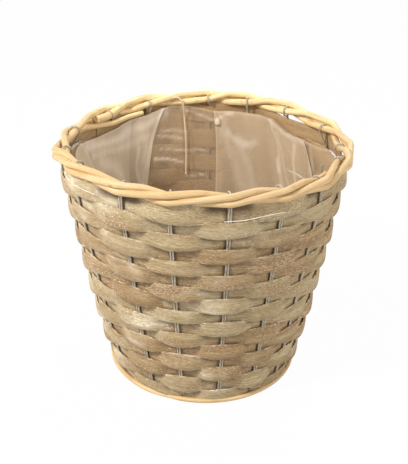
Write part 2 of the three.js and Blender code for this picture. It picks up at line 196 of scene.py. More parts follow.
# %% [markdown]
# ## Shader sums
#
# A procedural finish is mostly arithmetic: a mask is a noise, stretched and clipped, times another mask.
# Written as nodes it is a page of boxes. The first class below wraps one output socket, so that a sum of
# Python expressions adds the Math nodes by itself, and a finish reads like the sum it is. The second holds
# one material and adds every other kind of node.

# %% Socket arithmetic
def colour(red, green, blue):
    """A colour from screen values of 0 to 255, turned into the light values that a shader wants."""
    screen = [c / 255 for c in (red, green, blue)]
    return (*(c / 12.92 if c <= 0.04045 else ((c + 0.055) / 1.055) ** 2.4 for c in screen), 1.0)


class Value:
    """An output socket of a material's tree, which can be used in Python sums."""

    def __init__(self, recipe, socket):
        self.recipe = recipe
        self.socket = socket

    def math_node(self, operation, first, second):
        """Adds a Math node of two Values or numbers."""
        return self.recipe.node("ShaderNodeMath", {"operation": operation}, {0: first, 1: second})

    def __add__(self, other):
        return self.math_node("ADD", self, other)

    def __sub__(self, other):
        return self.math_node("SUBTRACT", self, other)

    def __rsub__(self, other):
        return self.math_node("SUBTRACT", other, self)

    def __mul__(self, other):
        return self.math_node("MULTIPLY", self, other)

    def __pow__(self, other):
        return self.math_node("POWER", self, other)

    def __rpow__(self, other):
        return self.math_node("POWER", other, self)

    __radd__ = __add__
    __rmul__ = __mul__

    def between(self, low, high):
        """0 at or below low, 1 at or above high, and smooth between them."""
        sockets = {"Value": self, "From Min": low, "From Max": high}
        return self.recipe.node("ShaderNodeMapRange", {"interpolation_type": "SMOOTHSTEP"}, sockets)

    def held(self, low, high):
        """The same value, but never below low or above high."""
        return self.math_node("MINIMUM", self.math_node("MAXIMUM", self, low), high)


print("a screen value of 128 is", round(colour(128, 128, 128)[0], 3), "of white's light")

# %% Recipe of a material
# how far apart in the noise two pieces lie whose tones are 0 and 1
NOISE_SHIFT = (31.7, 17.3, 53.1)


class Recipe:
    """One material, and the few kinds of node that its finish is written with."""

    def __init__(self, name):
        self.material = bpy.data.materials.new(name)
        self.material.use_nodes = True
        self.tree = self.material.node_tree
        self.shader = self.tree.nodes["Principled BSDF"]

    def node(self, kind, settings=None, sockets=None, output=0):
        """Adds a node: its settings come first, then its sockets get their values or links."""
        made = self.tree.nodes.new(kind)
        for key, setting in (settings or {}).items():
            setattr(made, key, setting)
        for key, value in (sockets or {}).items():
            if isinstance(value, Value):
                self.tree.links.new(value.socket, made.inputs[key])
            else:
                made.inputs[key].default_value = value
        return Value(self, made.outputs[output])

    def finish(self, **sockets):
        """Sets or links the Principled shader's sockets, with spaces written as underscores."""
        for key, value in sockets.items():
            socket = self.shader.inputs[key.replace("_", " ")]
            if isinstance(value, Value):
                self.tree.links.new(value.socket, socket)
            else:
                socket.default_value = value
        print("material", self.material.name, "with", len(self.tree.nodes), "nodes")
        return self.material

    def attribute(self, name):
        """A value that the mesh gives for each of its points."""
        return self.node("ShaderNodeAttribute", {"attribute_name": name}, output="Fac")

    def mix(self, share, first, second):
        """A colour between two, each a colour or a Value."""
        return self.node("ShaderNodeMix", {"data_type": "RGBA"}, {0: share, 6: first, 7: second}, output=2)

    def coated(self, base, *coats):
        """A colour with others laid over it, each given as how much of it shows and its colour."""
        for share, coat in coats:
            base = self.mix(share, base, colour(*coat))
        return base

    def stretched(self, scale, shift=None):
        """The grain coordinate times a scale for along and across, moved on by a Value in its third place."""
        grain = self.node("ShaderNodeUVMap", {"uv_map": "grain"})
        scaled = self.node("ShaderNodeVectorMath", {"operation": "MULTIPLY"}, {0: grain, 1: (*scale, 1)})
        if shift is None:
            return scaled
        apart = self.node("ShaderNodeCombineXYZ", None, {i: shift * far for i, far in enumerate(NOISE_SHIFT)})
        return self.node("ShaderNodeVectorMath", {"operation": "ADD"}, {0: scaled, 1: apart})

    def in_space(self, scale, shift):
        """The place in the room, in metres, times a scale and moved on."""
        place = self.node("ShaderNodeNewGeometry", output="Position")
        sockets = {0: place, 1: (scale, scale, scale), 2: shift}
        return self.node("ShaderNodeVectorMath", {"operation": "MULTIPLY_ADD"}, sockets)

    def along_axis(self, axis):
        """How far along X, Y or Z a point lies, in metres."""
        place = self.node("ShaderNodeNewGeometry", output="Position")
        return self.node("ShaderNodeSeparateXYZ", None, {0: place}, output=axis)

    def noise(self, at, detail=2.0, roughness=0.5):
        """Soft noise, read at a place that is scaled already."""
        sockets = {"Vector": at, "Scale": 1.0, "Detail": detail, "Roughness": roughness}
        return self.node("ShaderNodeTexNoise", None, sockets)

    def bump(self, height, distance, strength):
        """A normal from a height, in which 1 stands for a distance in metres."""
        sockets = {"Strength": strength, "Distance": distance, "Height": height}
        return self.node("ShaderNodeBump", None, sockets)


print("tones shift the noise by up to", max(NOISE_SHIFT))

# %% [markdown]
# ## The split wood
#
# Riven wood shows its fibres: fine lines along the strip, a few darker ones where a pore ran, and
# broad bands where the rod's own colour changed. The strips were dipped grey, so they run from a
# greenish beige to a warm brown from one length to the next. Lime was brushed over the finished basket
# and caught on the edges and on raised fibres as pale specks. Where a strip dives behind another,
# behind a stake and under a lens's lower edge, it is darkened with painted shade, and the side that
# looks inward is painted warmer and lighter, as painted light bounced round inside the basket. Each of
# those is one mask below.

# %% Split wood material
def split_wood():
    wood = Recipe("split_wood")
    tone = wood.attribute("tone")
    edge = wood.attribute("edge")
    # painted shade where a strip dives, behind a stake and under a lens's lower edge
    recess = wood.attribute("recess")
    # painted light: inner is 1 on a strip's inward side, painted warmer and lighter for bounced light
    inner = wood.attribute("inner")
    fibre = wood.noise(wood.stretched((55, 2300), tone), 3.0, 0.6)
    pore = wood.noise(wood.stretched((16, 1100), tone), 2.0)
    band = wood.noise(wood.stretched((13, 160), tone), 2.0)
    cloud = wood.noise(wood.stretched((22, 60), tone), 3.0)
    sand = wood.noise(wood.stretched((230, 1150), tone), 3.0, 0.65)
    fleck = wood.noise(wood.stretched((470, 1700), tone), 2.0)
    brush = wood.noise(wood.in_space(21, (3.1, 0.4, 1.7)), 3.0, 0.6) - wood.along_axis("X") * 1.2

    grey = wood.mix(band.between(0.35, 0.65), colour(184, 167, 128), colour(164, 142, 102))
    brown = wood.mix(band.between(0.3, 0.7), colour(168, 138, 96), colour(142, 110, 70))
    share = tone * 0.42 + cloud * 0.95 - (wood.along_axis("Z") - 0.09) * 0.9
    patch = wood.noise(wood.stretched((26, 70), tone), 3.0, 0.65)
    brushed = brush.between(0.5, 0.68)
    reach = patch.between(0.5, 0.75) * (0.2 + brushed * 0.6) + edge.between(0.8, 1.0) * 0.4
    lime = (sand + reach * 0.22).between(0.56, 0.74) * (0.12 + reach * 0.88)
    wash = brushed * (0.12 + patch.between(0.4, 0.7) * 0.45)
    flecks = fleck.between(0.54, 0.66) * (0.15 + cloud.between(0.45, 0.65) * 0.45)
    base = wood.coated(
        wood.mix(share.between(0.5, 0.95), grey, brown),
        ((1 - fibre.between(0.3, 0.62)) * 0.48, (112, 85, 55)),
        ((1 - pore.between(0.28, 0.42)) * 0.35, (108, 80, 52)),
        ((1 - sand.between(0.34, 0.56)) * 0.45, (100, 76, 49)),
        (wash, (214, 200, 172)),
        (flecks, (232, 216, 188)),
        (lime, (236, 222, 198)),
        # painted shade, dark brown
        (recess * 0.85, (66, 42, 24)),
        # painted light: the inward side is warmer and lighter, for light bounced round inside the basket
        (inner * 0.5, (174, 133, 87)),
    )
    height = fibre * 0.6 + pore * 0.5 + sand * 0.35 + lime * 0.4
    return wood.finish(
        Base_Color=base,
        Roughness=0.86 - lime * 0.1 - fibre * 0.08,
        Normal=wood.bump(height, 0.0003, 0.55),
    )


split_wood_material = split_wood()

# %% [markdown]
# ## The woven rows
#
# A row is never one ring. It is several lengths of strip, each long enough for four to eight stakes,
# and the end of each tucks in behind the start of the next. A strip bends over a stake, and between two
# stakes it slips behind the rows above and below, so it shows as a lens: wide in its middle, narrow
# where it dives. Two neighbours share one wavering line, and each laps over it by a third of a
# millimetre. It swells further past it only towards a stake, where the two lie in different layers.

# %% Soft noise
def soft_noise(rng, count, lowest, highest, dimensions=1):
    """A smooth random wave of about unit size: a sum of sines with seeded directions and phases."""
    rates = rng.uniform(lowest, highest, (count, dimensions)) * rng.choice([-1, 1], (count, dimensions))
    phases = rng.uniform(0, 2 * math.pi, count)
    return lambda *at: sum(
        np.sin(sum(rate * np.asarray(a, float) for rate, a in zip(row, at)) + phase)
        for row, phase in zip(rates, phases)
    ) / math.sqrt(count / 2)


row_lines = [soft_noise(rng, 5, 0.3, 1.7) for _ in range(ROWS + 1)]
print("lines between rows", len(row_lines))

# %% Layers of the rows
# rings of points for one place, and then how far a strip waves, laps, swells and sways, in millimetres
STATIONS = 20
WIRE_CLEARANCE = 1.0
WAVE_HEIGHT = WIRE_RADIUS + WIRE_CLEARANCE + STRIP_THICKNESS / 2
WAVE_SQUARENESS = 1.5
STRIP_LAP = 0.35
SWELL_OUTSIDE = 0.35
SWELL_INSIDE = 1.7
FOOT_SWELL = 0.35
LINE_SWAY = 0.5
EDGE_SWAY = 0.35
FRAY = 0.03
SWELL_POWER = 1.1
# directions in a section of the wall, each how far outward and how far up
along_wall = np.array([math.sin(wall_tilt), math.cos(wall_tilt)])
out_of_wall = np.array([math.cos(wall_tilt), -math.sin(wall_tilt)])
top_tilt = math.atan(wall_slope * TOP_SLOPE_SHARE)
along_top = np.array([math.sin(top_tilt), math.cos(top_tilt)])
out_of_top = np.array([math.cos(top_tilt), -math.sin(top_tilt)])
print("strips wave by", WAVE_HEIGHT, "mm to each side of the wires")

# %% Edges of a strip
# the top row's upper edge: it is raised between the stakes it lies inside of, and more at the back,
# but for one gap beside a stake there that light shines through
TOP_RAISE = 2.4
TOP_BACK = (9.7, 1.6)
TOP_GAP = (7.6, 0.42)
TOP_GAP_RAISE = 0.5
TOP_DIP_WIDTH = 0.35
TOP_DIP_LEFT_AT_BACK = 0.05


def smooth(x):
    """0 at or below 0, 1 at or above 1, and smooth between them."""
    x = np.clip(x, 0, 1)
    return x * x * (3 - 2 * x)


def hump(x, middle, width, power=4):
    """1 at a middle, falling to 0 a width away from it, with a flat top for a high power."""
    return np.exp(-(((x - middle) / width) ** power))


def waved(phase, squareness):
    """A wave from -1 to 1 with flat crests, from a plain one."""
    return np.tanh(squareness * phase) / math.tanh(squareness)


def strip_edges(number, place, phase, rng):
    """How far a strip reaches above and below its row's middle."""
    swell = np.abs(phase) ** SWELL_POWER
    low_share = max(0, number - ROWS / 2) / (ROWS / 2)
    outside = SWELL_OUTSIDE + FOOT_SWELL * low_share
    wider = swell * np.where(phase > 0, outside, SWELL_INSIDE)
    lens = soft_noise(rng, 4, 0.8, 2.2)
    fray = soft_noise(rng, 6, 18, 70)
    half = ROW_PITCH / 2 + STRIP_LAP
    above = LINE_SWAY * row_lines[number - 1](place)
    below = LINE_SWAY * row_lines[number](place)
    up = half + above + wider + swell * EDGE_SWAY * lens(place) + FRAY * fray(place)
    down = half - below + wider + swell * EDGE_SWAY * lens(place + 9) + FRAY * fray(place + 5)
    if number == 1:
        dip = hump((place % 2 + 1) % 2, 1, TOP_DIP_WIDTH, 2)
        gap = hump(place % STAKES, *TOP_GAP)
        back = hump(place % STAKES, *TOP_BACK)
        raised = TOP_RAISE * (1 + back) * (1 - dip * (1 - (1 - TOP_DIP_LEFT_AT_BACK) * back))
        up = half + raised * (1 - gap) + TOP_GAP_RAISE * gap
    return up, down


print("a plain wave of 0.5 becomes", round(waved(0.5, WAVE_SQUARENESS), 2))

# %% Section and painted shade of a strip
# a strip's section: shares of its width from the lower edge to the upper one
SECTION = [-1, -0.86, -0.55, -0.2, 0.2, 0.55, 0.86, 1]


def both_sides(section):
    """The way round a section: up its outer side, which is 1, and down its inner one, which is -1."""
    return [(1, share) for share in section] + [(-1, share) for share in section[::-1]]


def painted_shade_at(phase, share):
    """Painted shade on the outer face: where it dives, behind a stake, and along a lens's lower edge."""
    under = smooth((-phase + 0.05) / 0.6) * smooth((share + 0.15) / 0.75)
    behind_stake = 0.75 * smooth((-phase - 0.955) / 0.03)
    lower_edge = 0.4 * smooth(phase / 0.4) * smooth((-share - 0.7) / 0.3)
    return np.maximum(under, behind_stake) + lower_edge


print("a strip is", STRIP_THICKNESS, "mm thick and has", 2 * len(SECTION), "points in its section")

# %% One length of strip
# a strip leans in the weave, is cupped across, and its end tucks in behind the next length
LEAN_OUT = 0.2
LEAN_SWAY = 0.03
LEAN_BETWEEN = 0.35
FOOT_LEAN_SHARE = 0.5
CUP = 0.4
EDGE_THINNING = 0.16
LAP_LAYER = 1.0
LAP_FADE = 0.75
FOOT_TONE_SHARE = 0.3
# the last row's lower edge: how high it ends inside and outside, and how far out the strips lie there
LOWEST_INSIDE = 1.5
LOWEST_OUTSIDE = 2.2
FOOT_LAYER = -0.7
FOOT_CLOSING = 1.9
FOOT_TOP = 9
FOOT_FADE = 7


def strip_length(number, start, end, rng):
    """One length of split wood in a row, with its values for the wood's shader."""
    count = max(8, int(round((end - start) * STATIONS)))
    place = np.linspace(start, end, count)
    height = WALL_HEIGHT - (number - 1) * ROW_PITCH
    along, out = (along_top, out_of_top) if number == 1 else (along_wall, out_of_wall)
    phase = np.cos(math.pi * (place + number))
    outside = smooth(phase * 2)
    wave = waved(phase, WAVE_SQUARENESS)
    swell = np.abs(phase) ** SWELL_POWER
    up, down = strip_edges(number, place, phase, rng)
    lowest = LOWEST_INSIDE + (LOWEST_OUTSIDE - LOWEST_INSIDE) * outside
    down = np.minimum(down, (height - lowest) / along[1])
    tucked = np.interp(place, [end - LAP_FADE, end], [0, -LAP_LAYER])
    lean = -LEAN_OUT + LEAN_SWAY * soft_noise(rng, 3, 0.8, 2.0)(place)
    lean = lean * np.where(phase > 0, LEAN_BETWEEN + (1 - LEAN_BETWEEN) * swell, LEAN_BETWEEN)
    if number == ROWS:
        lean = lean * FOOT_LEAN_SHARE
    rings, across, edges, painted_shades, painted_bounce_light = [], [], [], [], []
    for side, share in both_sides(SECTION):
        at = np.where(share > 0, up, down) * share
        thick = STRIP_THICKNESS * (0.5 - EDGE_THINNING * abs(share) ** 6) * side
        cup = -CUP * share**2 * np.sign(wave) * swell
        off = WAVE_HEIGHT * wave + tucked + thick + cup + lean * at
        z = height + at * along[1] + off * out[1]
        flare = (FOOT_LAYER + FOOT_CLOSING * (1 - outside)) * smooth((FOOT_TOP - z) / FOOT_FADE)
        radius = wall_radius(height) + at * along[0] + off * out[0] + flare
        rings.append(points_at(radius, z, angle_at(place)))
        across.append(at.mean() * MM)
        edges.append(np.full(count, abs(share)))
        # painted shade, on the outer face only
        painted_shades.append(painted_shade_at(phase, share) * (side > 0))
        # the inward face, for painted bounce light
        painted_bounce_light.append(np.full(count, float(side < 0)))
    rings = np.stack(rings, 1)
    length = distance_along(rings[:, 3]) + rng.uniform(0, 3)
    body = with_caps(swept(rings, length, np.array(across)), rings.shape[1])
    values = {
        "tone": np.full(len(body[0]), rng.uniform() * (FOOT_TONE_SHARE if number == ROWS else 1)),
        "edge": np.stack(edges, 1).ravel(),
        "recess": np.stack(painted_shades, 1).ravel(),
        "inner": np.stack(painted_bounce_light, 1).ravel(),
    }
    return body, values


print("a strip's end lies", LAP_LAYER, "mm further in")

# %% Wall rows
LAP_PLACES = 0.3
# the one end that the photograph shows, in the second row
SHOWN_END_PLACE = 0.46


def wall_row(number):
    """A whole row of the wall from its lengths of strip."""
    row_rng = np.random.default_rng(100 + number)
    inside = 1 + number % 2 + 2 * row_rng.integers(0, STAKES // 2)
    ends = [0, 6, 10, STAKES] if number % 3 else [0, 8, STAKES]
    cuts = np.array(ends) + inside
    if number == 2:
        first_cut = SHOWN_END_PLACE + LAP_PLACES
        cuts = np.array([first_cut, 7, 11, first_cut + STAKES])
    spans = zip(cuts, cuts[1:])
    lengths = [strip_length(number, a - LAP_PLACES, b + LAP_PLACES, row_rng) for a, b in spans]
    return wooden_row(f"split_row_{number:02d}", f"wall_strip_{number:02d}", lengths)


def joined(bodies):
    """One set of vertices, faces and grain coordinates from several."""
    points, faces, grain, start = [], [], [], 0
    for p, f, g in bodies:
        points.append(p)
        faces += [[v + start for v in face] for face in f]
        grain.append(g)
        start += len(p)
    return np.vstack(points), faces, np.vstack(grain)


def wooden_row(name, node, lengths):
    """One piece from lengths of strip, each a body and its values."""
    bodies, values = zip(*lengths)
    together = {key: np.concatenate([each[key] for each in values]) for key in values[0]}
    return make_piece(name, joined(bodies), split_wood_material, [node], together)


wall_rows = [wall_row(number) for number in range(1, ROWS + 1)]
print("wall rows", len(wall_rows), "faces", sum(len(row.data.polygons) for row in wall_rows))

# %% [markdown]
# ## The floor
#
# The photograph hides the floor. Baskets of this kind are begun there: the wires are laid across each
# other in two layers, and narrow strips are woven round and round them before the stakes are bent up.
# The same lens-shaped weave does it, laid flat. The solids leave the middle open to the wires, and two
# more turns of strip close it here.

# %% Floor rows
FLOOR_ROWS = 7
FLOOR_WIRE_HEIGHT = 3.2
FLOOR_WAVE = 1.7
FLOOR_SQUARENESS = 1.3
FLOOR_FIRST_RADIUS = 28.0
FLOOR_PITCH = 7.42
FLOOR_GAP = 0.25
FLOOR_SWELL = 0.35
FLOOR_SWELL_FROM = 0.3
FLOOR_SWELL_FADE = 0.6
FLOOR_THICKNESS = 0.8
FLOOR_EDGE_THINNING = 0.12
FLOOR_STATIONS = 14
FLOOR_LAP_PLACES = 0.6
FLOOR_LAP_LIFT = 0.9
# the last row is wider, so that it reaches the wall
FLOOR_LAST_REACH = 4.4
# turns of strip that lie inside the first row and belong to its piece
INNER_TURNS = 2
FLOOR_SECTION = [-1, -0.6, -0.2, 0.2, 0.6, 1]


def floor_turn(index, row_rng):
    """One turn of a floor strip. Turns inside the first row count below zero."""
    start = row_rng.uniform(0, STAKES)
    end = start + STAKES + FLOOR_LAP_PLACES
    place = np.linspace(start, end, FLOOR_STATIONS * STAKES)
    phase = np.cos(math.pi * (place + ROWS + FLOOR_ROWS - index))
    wave = waved(phase, FLOOR_SQUARENESS)
    swell = smooth((np.abs(phase) - FLOOR_SWELL_FROM) / FLOOR_SWELL_FADE)
    half = FLOOR_PITCH / 2 - FLOOR_GAP + FLOOR_SWELL * swell
    lift = np.interp(place, [end - 1, end], [0, FLOOR_LAP_LIFT])
    rings, across, edges = [], [], []
    for side, share in both_sides(FLOOR_SECTION):
        reach = half + (FLOOR_LAST_REACH if index == FLOOR_ROWS - 1 and share > 0 else 0)
        radius = FLOOR_FIRST_RADIUS + index * FLOOR_PITCH + reach * share
        thick = FLOOR_THICKNESS * (0.5 - FLOOR_EDGE_THINNING * abs(share) ** 4) * side
        off = FLOOR_WAVE * wave + thick
        rings.append(points_at(radius, FLOOR_WIRE_HEIGHT - off + lift, angle_at(place)))
        across.append(share * FLOOR_PITCH / 2 * MM)
        edges.append(np.full(len(place), abs(share)))
    rings = np.stack(rings, 1)
    body = with_caps(swept(rings, distance_along(rings[:, 2]), np.array(across)), rings.shape[1])
    return body, {"tone": np.full(len(body[0]), row_rng.uniform()), "edge": np.stack(edges, 1).ravel()}


def floor_row(index):
    """A row of the floor. The first one takes the turns inside it along."""
    row_rng = np.random.default_rng(200 + index)
    turns = range(INNER_TURNS + 1) if index == 0 else range(1)
    lengths = [floor_turn(index - inner, row_rng) for inner in turns]
    return wooden_row(f"floor_row_{index + 1}", f"floor_strip_{index + 1}", lengths)


floor_rows = [floor_row(index) for index in range(FLOOR_ROWS)]
print("floor rows", len(floor_rows))

# %% [markdown]
# ## The peeled rods
#
# The rim is a three-rod wale. A strand goes inside at one stake, through the wire's eye, and then
# outside at the next two, first low and then high. Three such strands, each one stake behind the last,
# lie as a rope. Willow doesn't bend like wire: it stays nearly straight between stakes and kinks at
# them, so the line here is drawn straight from point to point and only then softened a little. Each rod
# thins from its butt to its tip. The rods at the back are painted paler than those in front, as painted
# light falling on them.

# %% Willow material
def peeled_willow():
    willow = Recipe("peeled_willow")
    tone = willow.attribute("tone")
    fibre = willow.noise(willow.stretched((30, 900), tone), 3.0, 0.6)
    blush = willow.noise(willow.stretched((22, 40), tone), 3.0)
    stain = willow.noise(willow.stretched((60, 160), tone), 4.0, 0.65)
    speck = willow.noise(willow.stretched((260, 700), tone), 2.0, 0.6)
    cells = {"Vector": willow.stretched((30, 60), tone), "Scale": 1.0}
    knot = willow.node("ShaderNodeTexVoronoi", {"voronoi_dimensions": "3D"}, cells)
    # painted light: rods further back are painted paler, for the light that falls on them there
    back = willow.along_axis("Y").between(-0.02, 0.1)
    base = willow.coated(
        willow.mix(blush.between(0.35, 0.7), colour(214, 187, 141), colour(200, 168, 117)),
        (tone * 0.3, (206, 168, 113)),
        # painted light at the back of the rim
        (back * 0.85, (250, 222, 164)),
        ((1 - fibre.between(0.32, 0.6)) * 0.5, (178, 137, 84)),
        (stain.between(0.55, 0.72) * 0.5, (186, 136, 80)),
        (speck.between(0.6, 0.72) * 0.4, (150, 104, 60)),
        ((1 - knot.between(0.03, 0.09)) * 0.7, (120, 80, 48)),
    )
    height = fibre * 0.5 + knot.between(0.0, 0.25) * 0.8
    return willow.finish(
        Base_Color=base,
        Roughness=0.5 + stain * 0.12,
        Normal=willow.bump(height, 0.0004, 0.6),
    )


peeled_willow_material = peeled_willow()

# %% A round rod
def tube(path, radius, sides):
    """A round rod or wire along a path of points in metres, its radius one number or one for each point.

    Every ring takes its first direction over from the ring before, so the rod isn't twisted."""
    path = np.asarray(path, float)
    radius = np.broadcast_to(np.asarray(radius, float), len(path))
    way = np.gradient(path, axis=0)
    way /= np.linalg.norm(way, axis=1, keepdims=True)
    side = np.cross([0, 0, 1.0], way[0])
    sides_at = []
    for w in way:
        side = side - w * side.dot(w)
        side /= np.linalg.norm(side)
        sides_at.append(side)
    across = np.array(sides_at)
    up = np.cross(way, across)
    t = np.linspace(0, 2 * math.pi, sides, endpoint=False)
    ring = across[:, None] * np.cos(t)[None, :, None] + up[:, None] * np.sin(t)[None, :, None]
    rings = path[:, None] + ring * radius[:, None, None]
    around = np.append(t, 2 * math.pi) * radius.mean()
    return with_caps(swept(rings, distance_along(path), around), sides)


print("a tube of 16 sides and 2 rings has", len(tube([(0, 0, 0), (0.1, 0, 0)], 0.002, sides=16)[1]), "faces")

# %% Sizes of the rim
ROD_CLEARANCE = 0.7
EYE_REACH = ROD_RADIUS + ROD_CLEARANCE + WIRE_RADIUS
OUTSIDE_RADIUS = EYE_RADIUS + 2 * EYE_REACH + 0.9
CROSS_RADIUS = EYE_RADIUS + 4.6
CHORD_BULGE = 0.6
# a strand's way over three stakes, in half places: its radius and its height over the rim's middle
STRAND_TURN = [
    (EYE_RADIUS, -1.0),
    (CROSS_RADIUS, -3.5),
    (OUTSIDE_RADIUS, -2.75),
    (OUTSIDE_RADIUS, 0.0),
    (OUTSIDE_RADIUS, 2.9),
    (CROSS_RADIUS, 3.6),
]
ROD_ENDS = [12, 36, 48]
# a rod starts inside, below the end of the last one: places past its first eye, radii and heights
LEAD_IN = [
    (-0.85, 107.6, 185.4),
    (-0.45, 107.0, 185.1),
    (0, 105.6, 184.8),
    (0.33, 109, 185.4),
    (0.62, 112.6, 188),
]
# thickness of each rod along its places: radii in millimetres
ROD_TAPERS = [
    [(0, 2.35), (8, 2.65), (11, 3.2), (12.4, 3.4)],
    [(11, 2.0), (12, 2.4), (14, 2.8), (30, 2.6), (36, 2.4)],
    [(35, 2.4), (42, 2.7), (45, 3.0), (48, 2.45)],
]
# the rim isn't level: places and how much higher than even it lies there, in millimetres
RIM_RISE = [
    (0, 0.5), (1, 0), (3, 0.8), (4, -1), (5, 0), (6, 0), (7, 0.4), (8, 2), (9, 2.6), (10, 2.2), (11, -0.8),
    (12, -3.4), (13, -2), (14, -0.4), (15, 0.6), (16, 0.5),
]
# outside the eyes the rods sag on the left of the back: places and how much lower they lie there
OUTSIDE_SAG = [(0, 0), (12, 0), (12.5, 4), (13, 5.5), (13.6, 4.5), (14.2, 1.5), (14.6, 0), (16, 0)]
ROD_STEP = 1 / 24
KINK_WIDTH = 0.07
RADIUS_SPREAD = 0.3
HEIGHT_SPREAD = 0.25
THICKNESS_SWAY = 0.07
# where a rod's tip ends: places past its last eye, and millimetres inward of the eye and below it
ROD_TIP = (0.36, 0.8, 0.8)
print("a rod turns once in", len(STRAND_TURN) // 2, "stakes")

# %% The way of a rod
def rim_rise(place):
    """How much higher than even the rim lies at a place, in millimetres."""
    return np.interp(np.asarray(place, float) % STAKES, *zip(*RIM_RISE))


def softened(line, step, width):
    """A line of points with its corners eased by two passes of a running mean."""
    reach = max(1, int(round(width / step / 2)))
    kernel = np.ones(2 * reach + 1) / (2 * reach + 1)
    for _ in range(2):
        padded = np.concatenate([np.repeat(line[:1], reach, 0), line, np.repeat(line[-1:], reach, 0)])
        line = np.stack([np.convolve(column, kernel, "valid") for column in padded.T], 1)
    return line


def rod_knots(first, last, rod_rng):
    """The points that a rod passes: places, radii and heights, half a place apart."""
    knots = [(first + past, radius, height) for past, radius, height in LEAD_IN]
    for half in range(2 * first + 2, 2 * last + 1):
        radius, lift = STRAND_TURN[half % 6]
        if half % 2:
            apart = float(angle_at((half + 1) / 2) - angle_at((half - 1) / 2))
            radius = radius * math.cos(apart / 2) + CHORD_BULGE
        radius += rod_rng.normal(0, RADIUS_SPREAD)
        height = RIM_MIDDLE + lift + rod_rng.normal(0, HEIGHT_SPREAD)
        knots.append((half / 2, radius, height))
    past, inward, below = ROD_TIP
    knots.append((last + past, EYE_RADIUS - inward, RIM_MIDDLE - below))
    knots = np.array(knots)
    knots[:, 2] += rim_rise(knots[:, 0])
    margin = 1
    outward = smooth((knots[:, 1] - EYE_RADIUS - margin) / (OUTSIDE_RADIUS - EYE_RADIUS - 2 * margin))
    knots[:, 2] -= outward * np.interp(knots[:, 0] % STAKES, *zip(*OUTSIDE_SAG))
    return knots


print("the rim is", round(float(rim_rise(9) - rim_rise(12)), 1), "mm higher at place 9 than at place 12")

# %% Rods of the rim
def rim_rod(index):
    """One rod of the rim, with its own seed, taper and tone."""
    first = ROD_ENDS[-1] - 3 * STAKES if index == 0 else ROD_ENDS[index - 1]
    rod_rng = np.random.default_rng(300 + index)
    knots = rod_knots(first, ROD_ENDS[index], rod_rng)
    place = np.arange(knots[0, 0], knots[-1, 0], ROD_STEP)
    corners = points_at(knots[:, 1], knots[:, 2], angle_at(knots[:, 0]))
    line = np.stack([np.interp(place, knots[:, 0], column) for column in corners.T], 1)
    path = softened(line, ROD_STEP, KINK_WIDTH)
    sway = THICKNESS_SWAY * soft_noise(rod_rng, 5, 2, 9)(place)
    radius = np.interp(place, *zip(*ROD_TAPERS[index])) + sway
    body = tube(path, radius * MM, sides=16)
    values = {"tone": np.full(len(body[0]), rod_rng.uniform())}
    name = f"willow_rod_{index + 1}"
    return make_piece(name, body, peeled_willow_material, [f"rim_rod_{index + 1}"], values)


rim_rods = [rim_rod(index) for index in range(3)]
print("rim rods", len(rim_rods))

# %% Foot hoop
HOOP_INNER_RADIUS = 80.9
# its thickest side shows at the left of the front; both are radii of its section
HOOP_THICK = 2.0
HOOP_THIN = 1.3
HOOP_THICK_ANGLE = math.radians(-125)
# it goes once round and laps its own start, which it creeps past
HOOP_START = -118
HOOP_SWEEP = 372
HOOP_CREEP = 0.9
HOOP_TIP_LENGTH = 0.05
HOOP_TIP_SHARE = 0.4
HOOP_TONE = 0.7


def foot_hoop():
    """The rod round the foot, thin at both ends, where it laps itself."""
    turn = np.linspace(math.radians(HOOP_START), math.radians(HOOP_START + HOOP_SWEEP), 260)
    share = np.linspace(0, 1, len(turn))
    ends = np.minimum(smooth(share / HOOP_TIP_LENGTH), smooth((1 - share) / HOOP_TIP_LENGTH))
    side = (1 + np.cos(turn - HOOP_THICK_ANGLE)) / 2
    radius = HOOP_THIN + (HOOP_THICK - HOOP_THIN) * side
    radius = radius * (HOOP_TIP_SHARE + (1 - HOOP_TIP_SHARE) * ends)
    path = points_at(HOOP_INNER_RADIUS + radius + HOOP_CREEP * (share - 0.5), radius + 0.1, turn)
    body = tube(path, radius * MM, sides=14)
    values = {"tone": np.full(len(body[0]), HOOP_TONE)}
    return make_piece("foot_rod", body, peeled_willow_material, ["foot_hoop"], values)


foot_rod = foot_hoop()
print("foot rod", len(foot_rod.data.polygons))

# %% [markdown]
# ## The stake wires
#
# One wire makes two stakes. It comes up from the floor, runs up the wall, turns a ring round the rod
# that passes there and goes down beside itself. The two legs side by side read as a flat band with a
# dark line in it. Galvanised wire is a dull zinc grey with brighter spangles and brown dirt.

# %% Wire material
def galvanised():
    wire = Recipe("galvanised_wire")
    spangle = wire.noise(wire.stretched((260, 900)), 3.0, 0.6)
    dirt = wire.noise(wire.stretched((45, 120)), 3.0)
    zinc = wire.mix(spangle.between(0.35, 0.7), colour(152, 141, 122), colour(196, 185, 164))
    base = wire.coated(zinc, (dirt.between(0.5, 0.75) * 0.5, (136, 118, 92)))
    return wire.finish(
        Base_Color=base,
        Metallic=0.18 - dirt.between(0.5, 0.8) * 0.1,
        Roughness=0.42 + dirt * 0.2,
        Normal=wire.bump(spangle, 0.00008, 0.5),
    )


galvanised_material = galvanised()

# %% Sizes of the wires
BEND_RADIUS = 5.5
FAN_RADIUS = 19.0
SLATH_HALF_WIDTH = 8.0
BEND_HEIGHT = FLOOR_WIRE_HEIGHT + BEND_RADIUS
BEND_CENTRE_RADIUS = float(wall_radius(BEND_HEIGHT)) - BEND_RADIUS / math.cos(wall_tilt)
TOP_ROW_HALF_WIDTH = 5.6
TOP_ROW_UPPER_EDGE = WALL_HEIGHT + TOP_ROW_HALF_WIDTH * along_top[1]
EYE_HEIGHT = RIM_MIDDLE - 1.0
LANES = STAKES // 4
LANE_GAP = 0.3
LANE_PITCH = 2 * LEG_OFFSET + 2 * WIRE_RADIUS + LANE_GAP
LAYER_GAP = 0.3
# how far over its bend a leg's straight part begins, and the number of points in it
LEG_START = 12
LEG_POINTS = 12
# where in the crossing a wire begins: a share of the crossing's half width
WIRE_START = 0.04
print("wires start their bend", round(BEND_CENTRE_RADIUS, 2), "mm out")

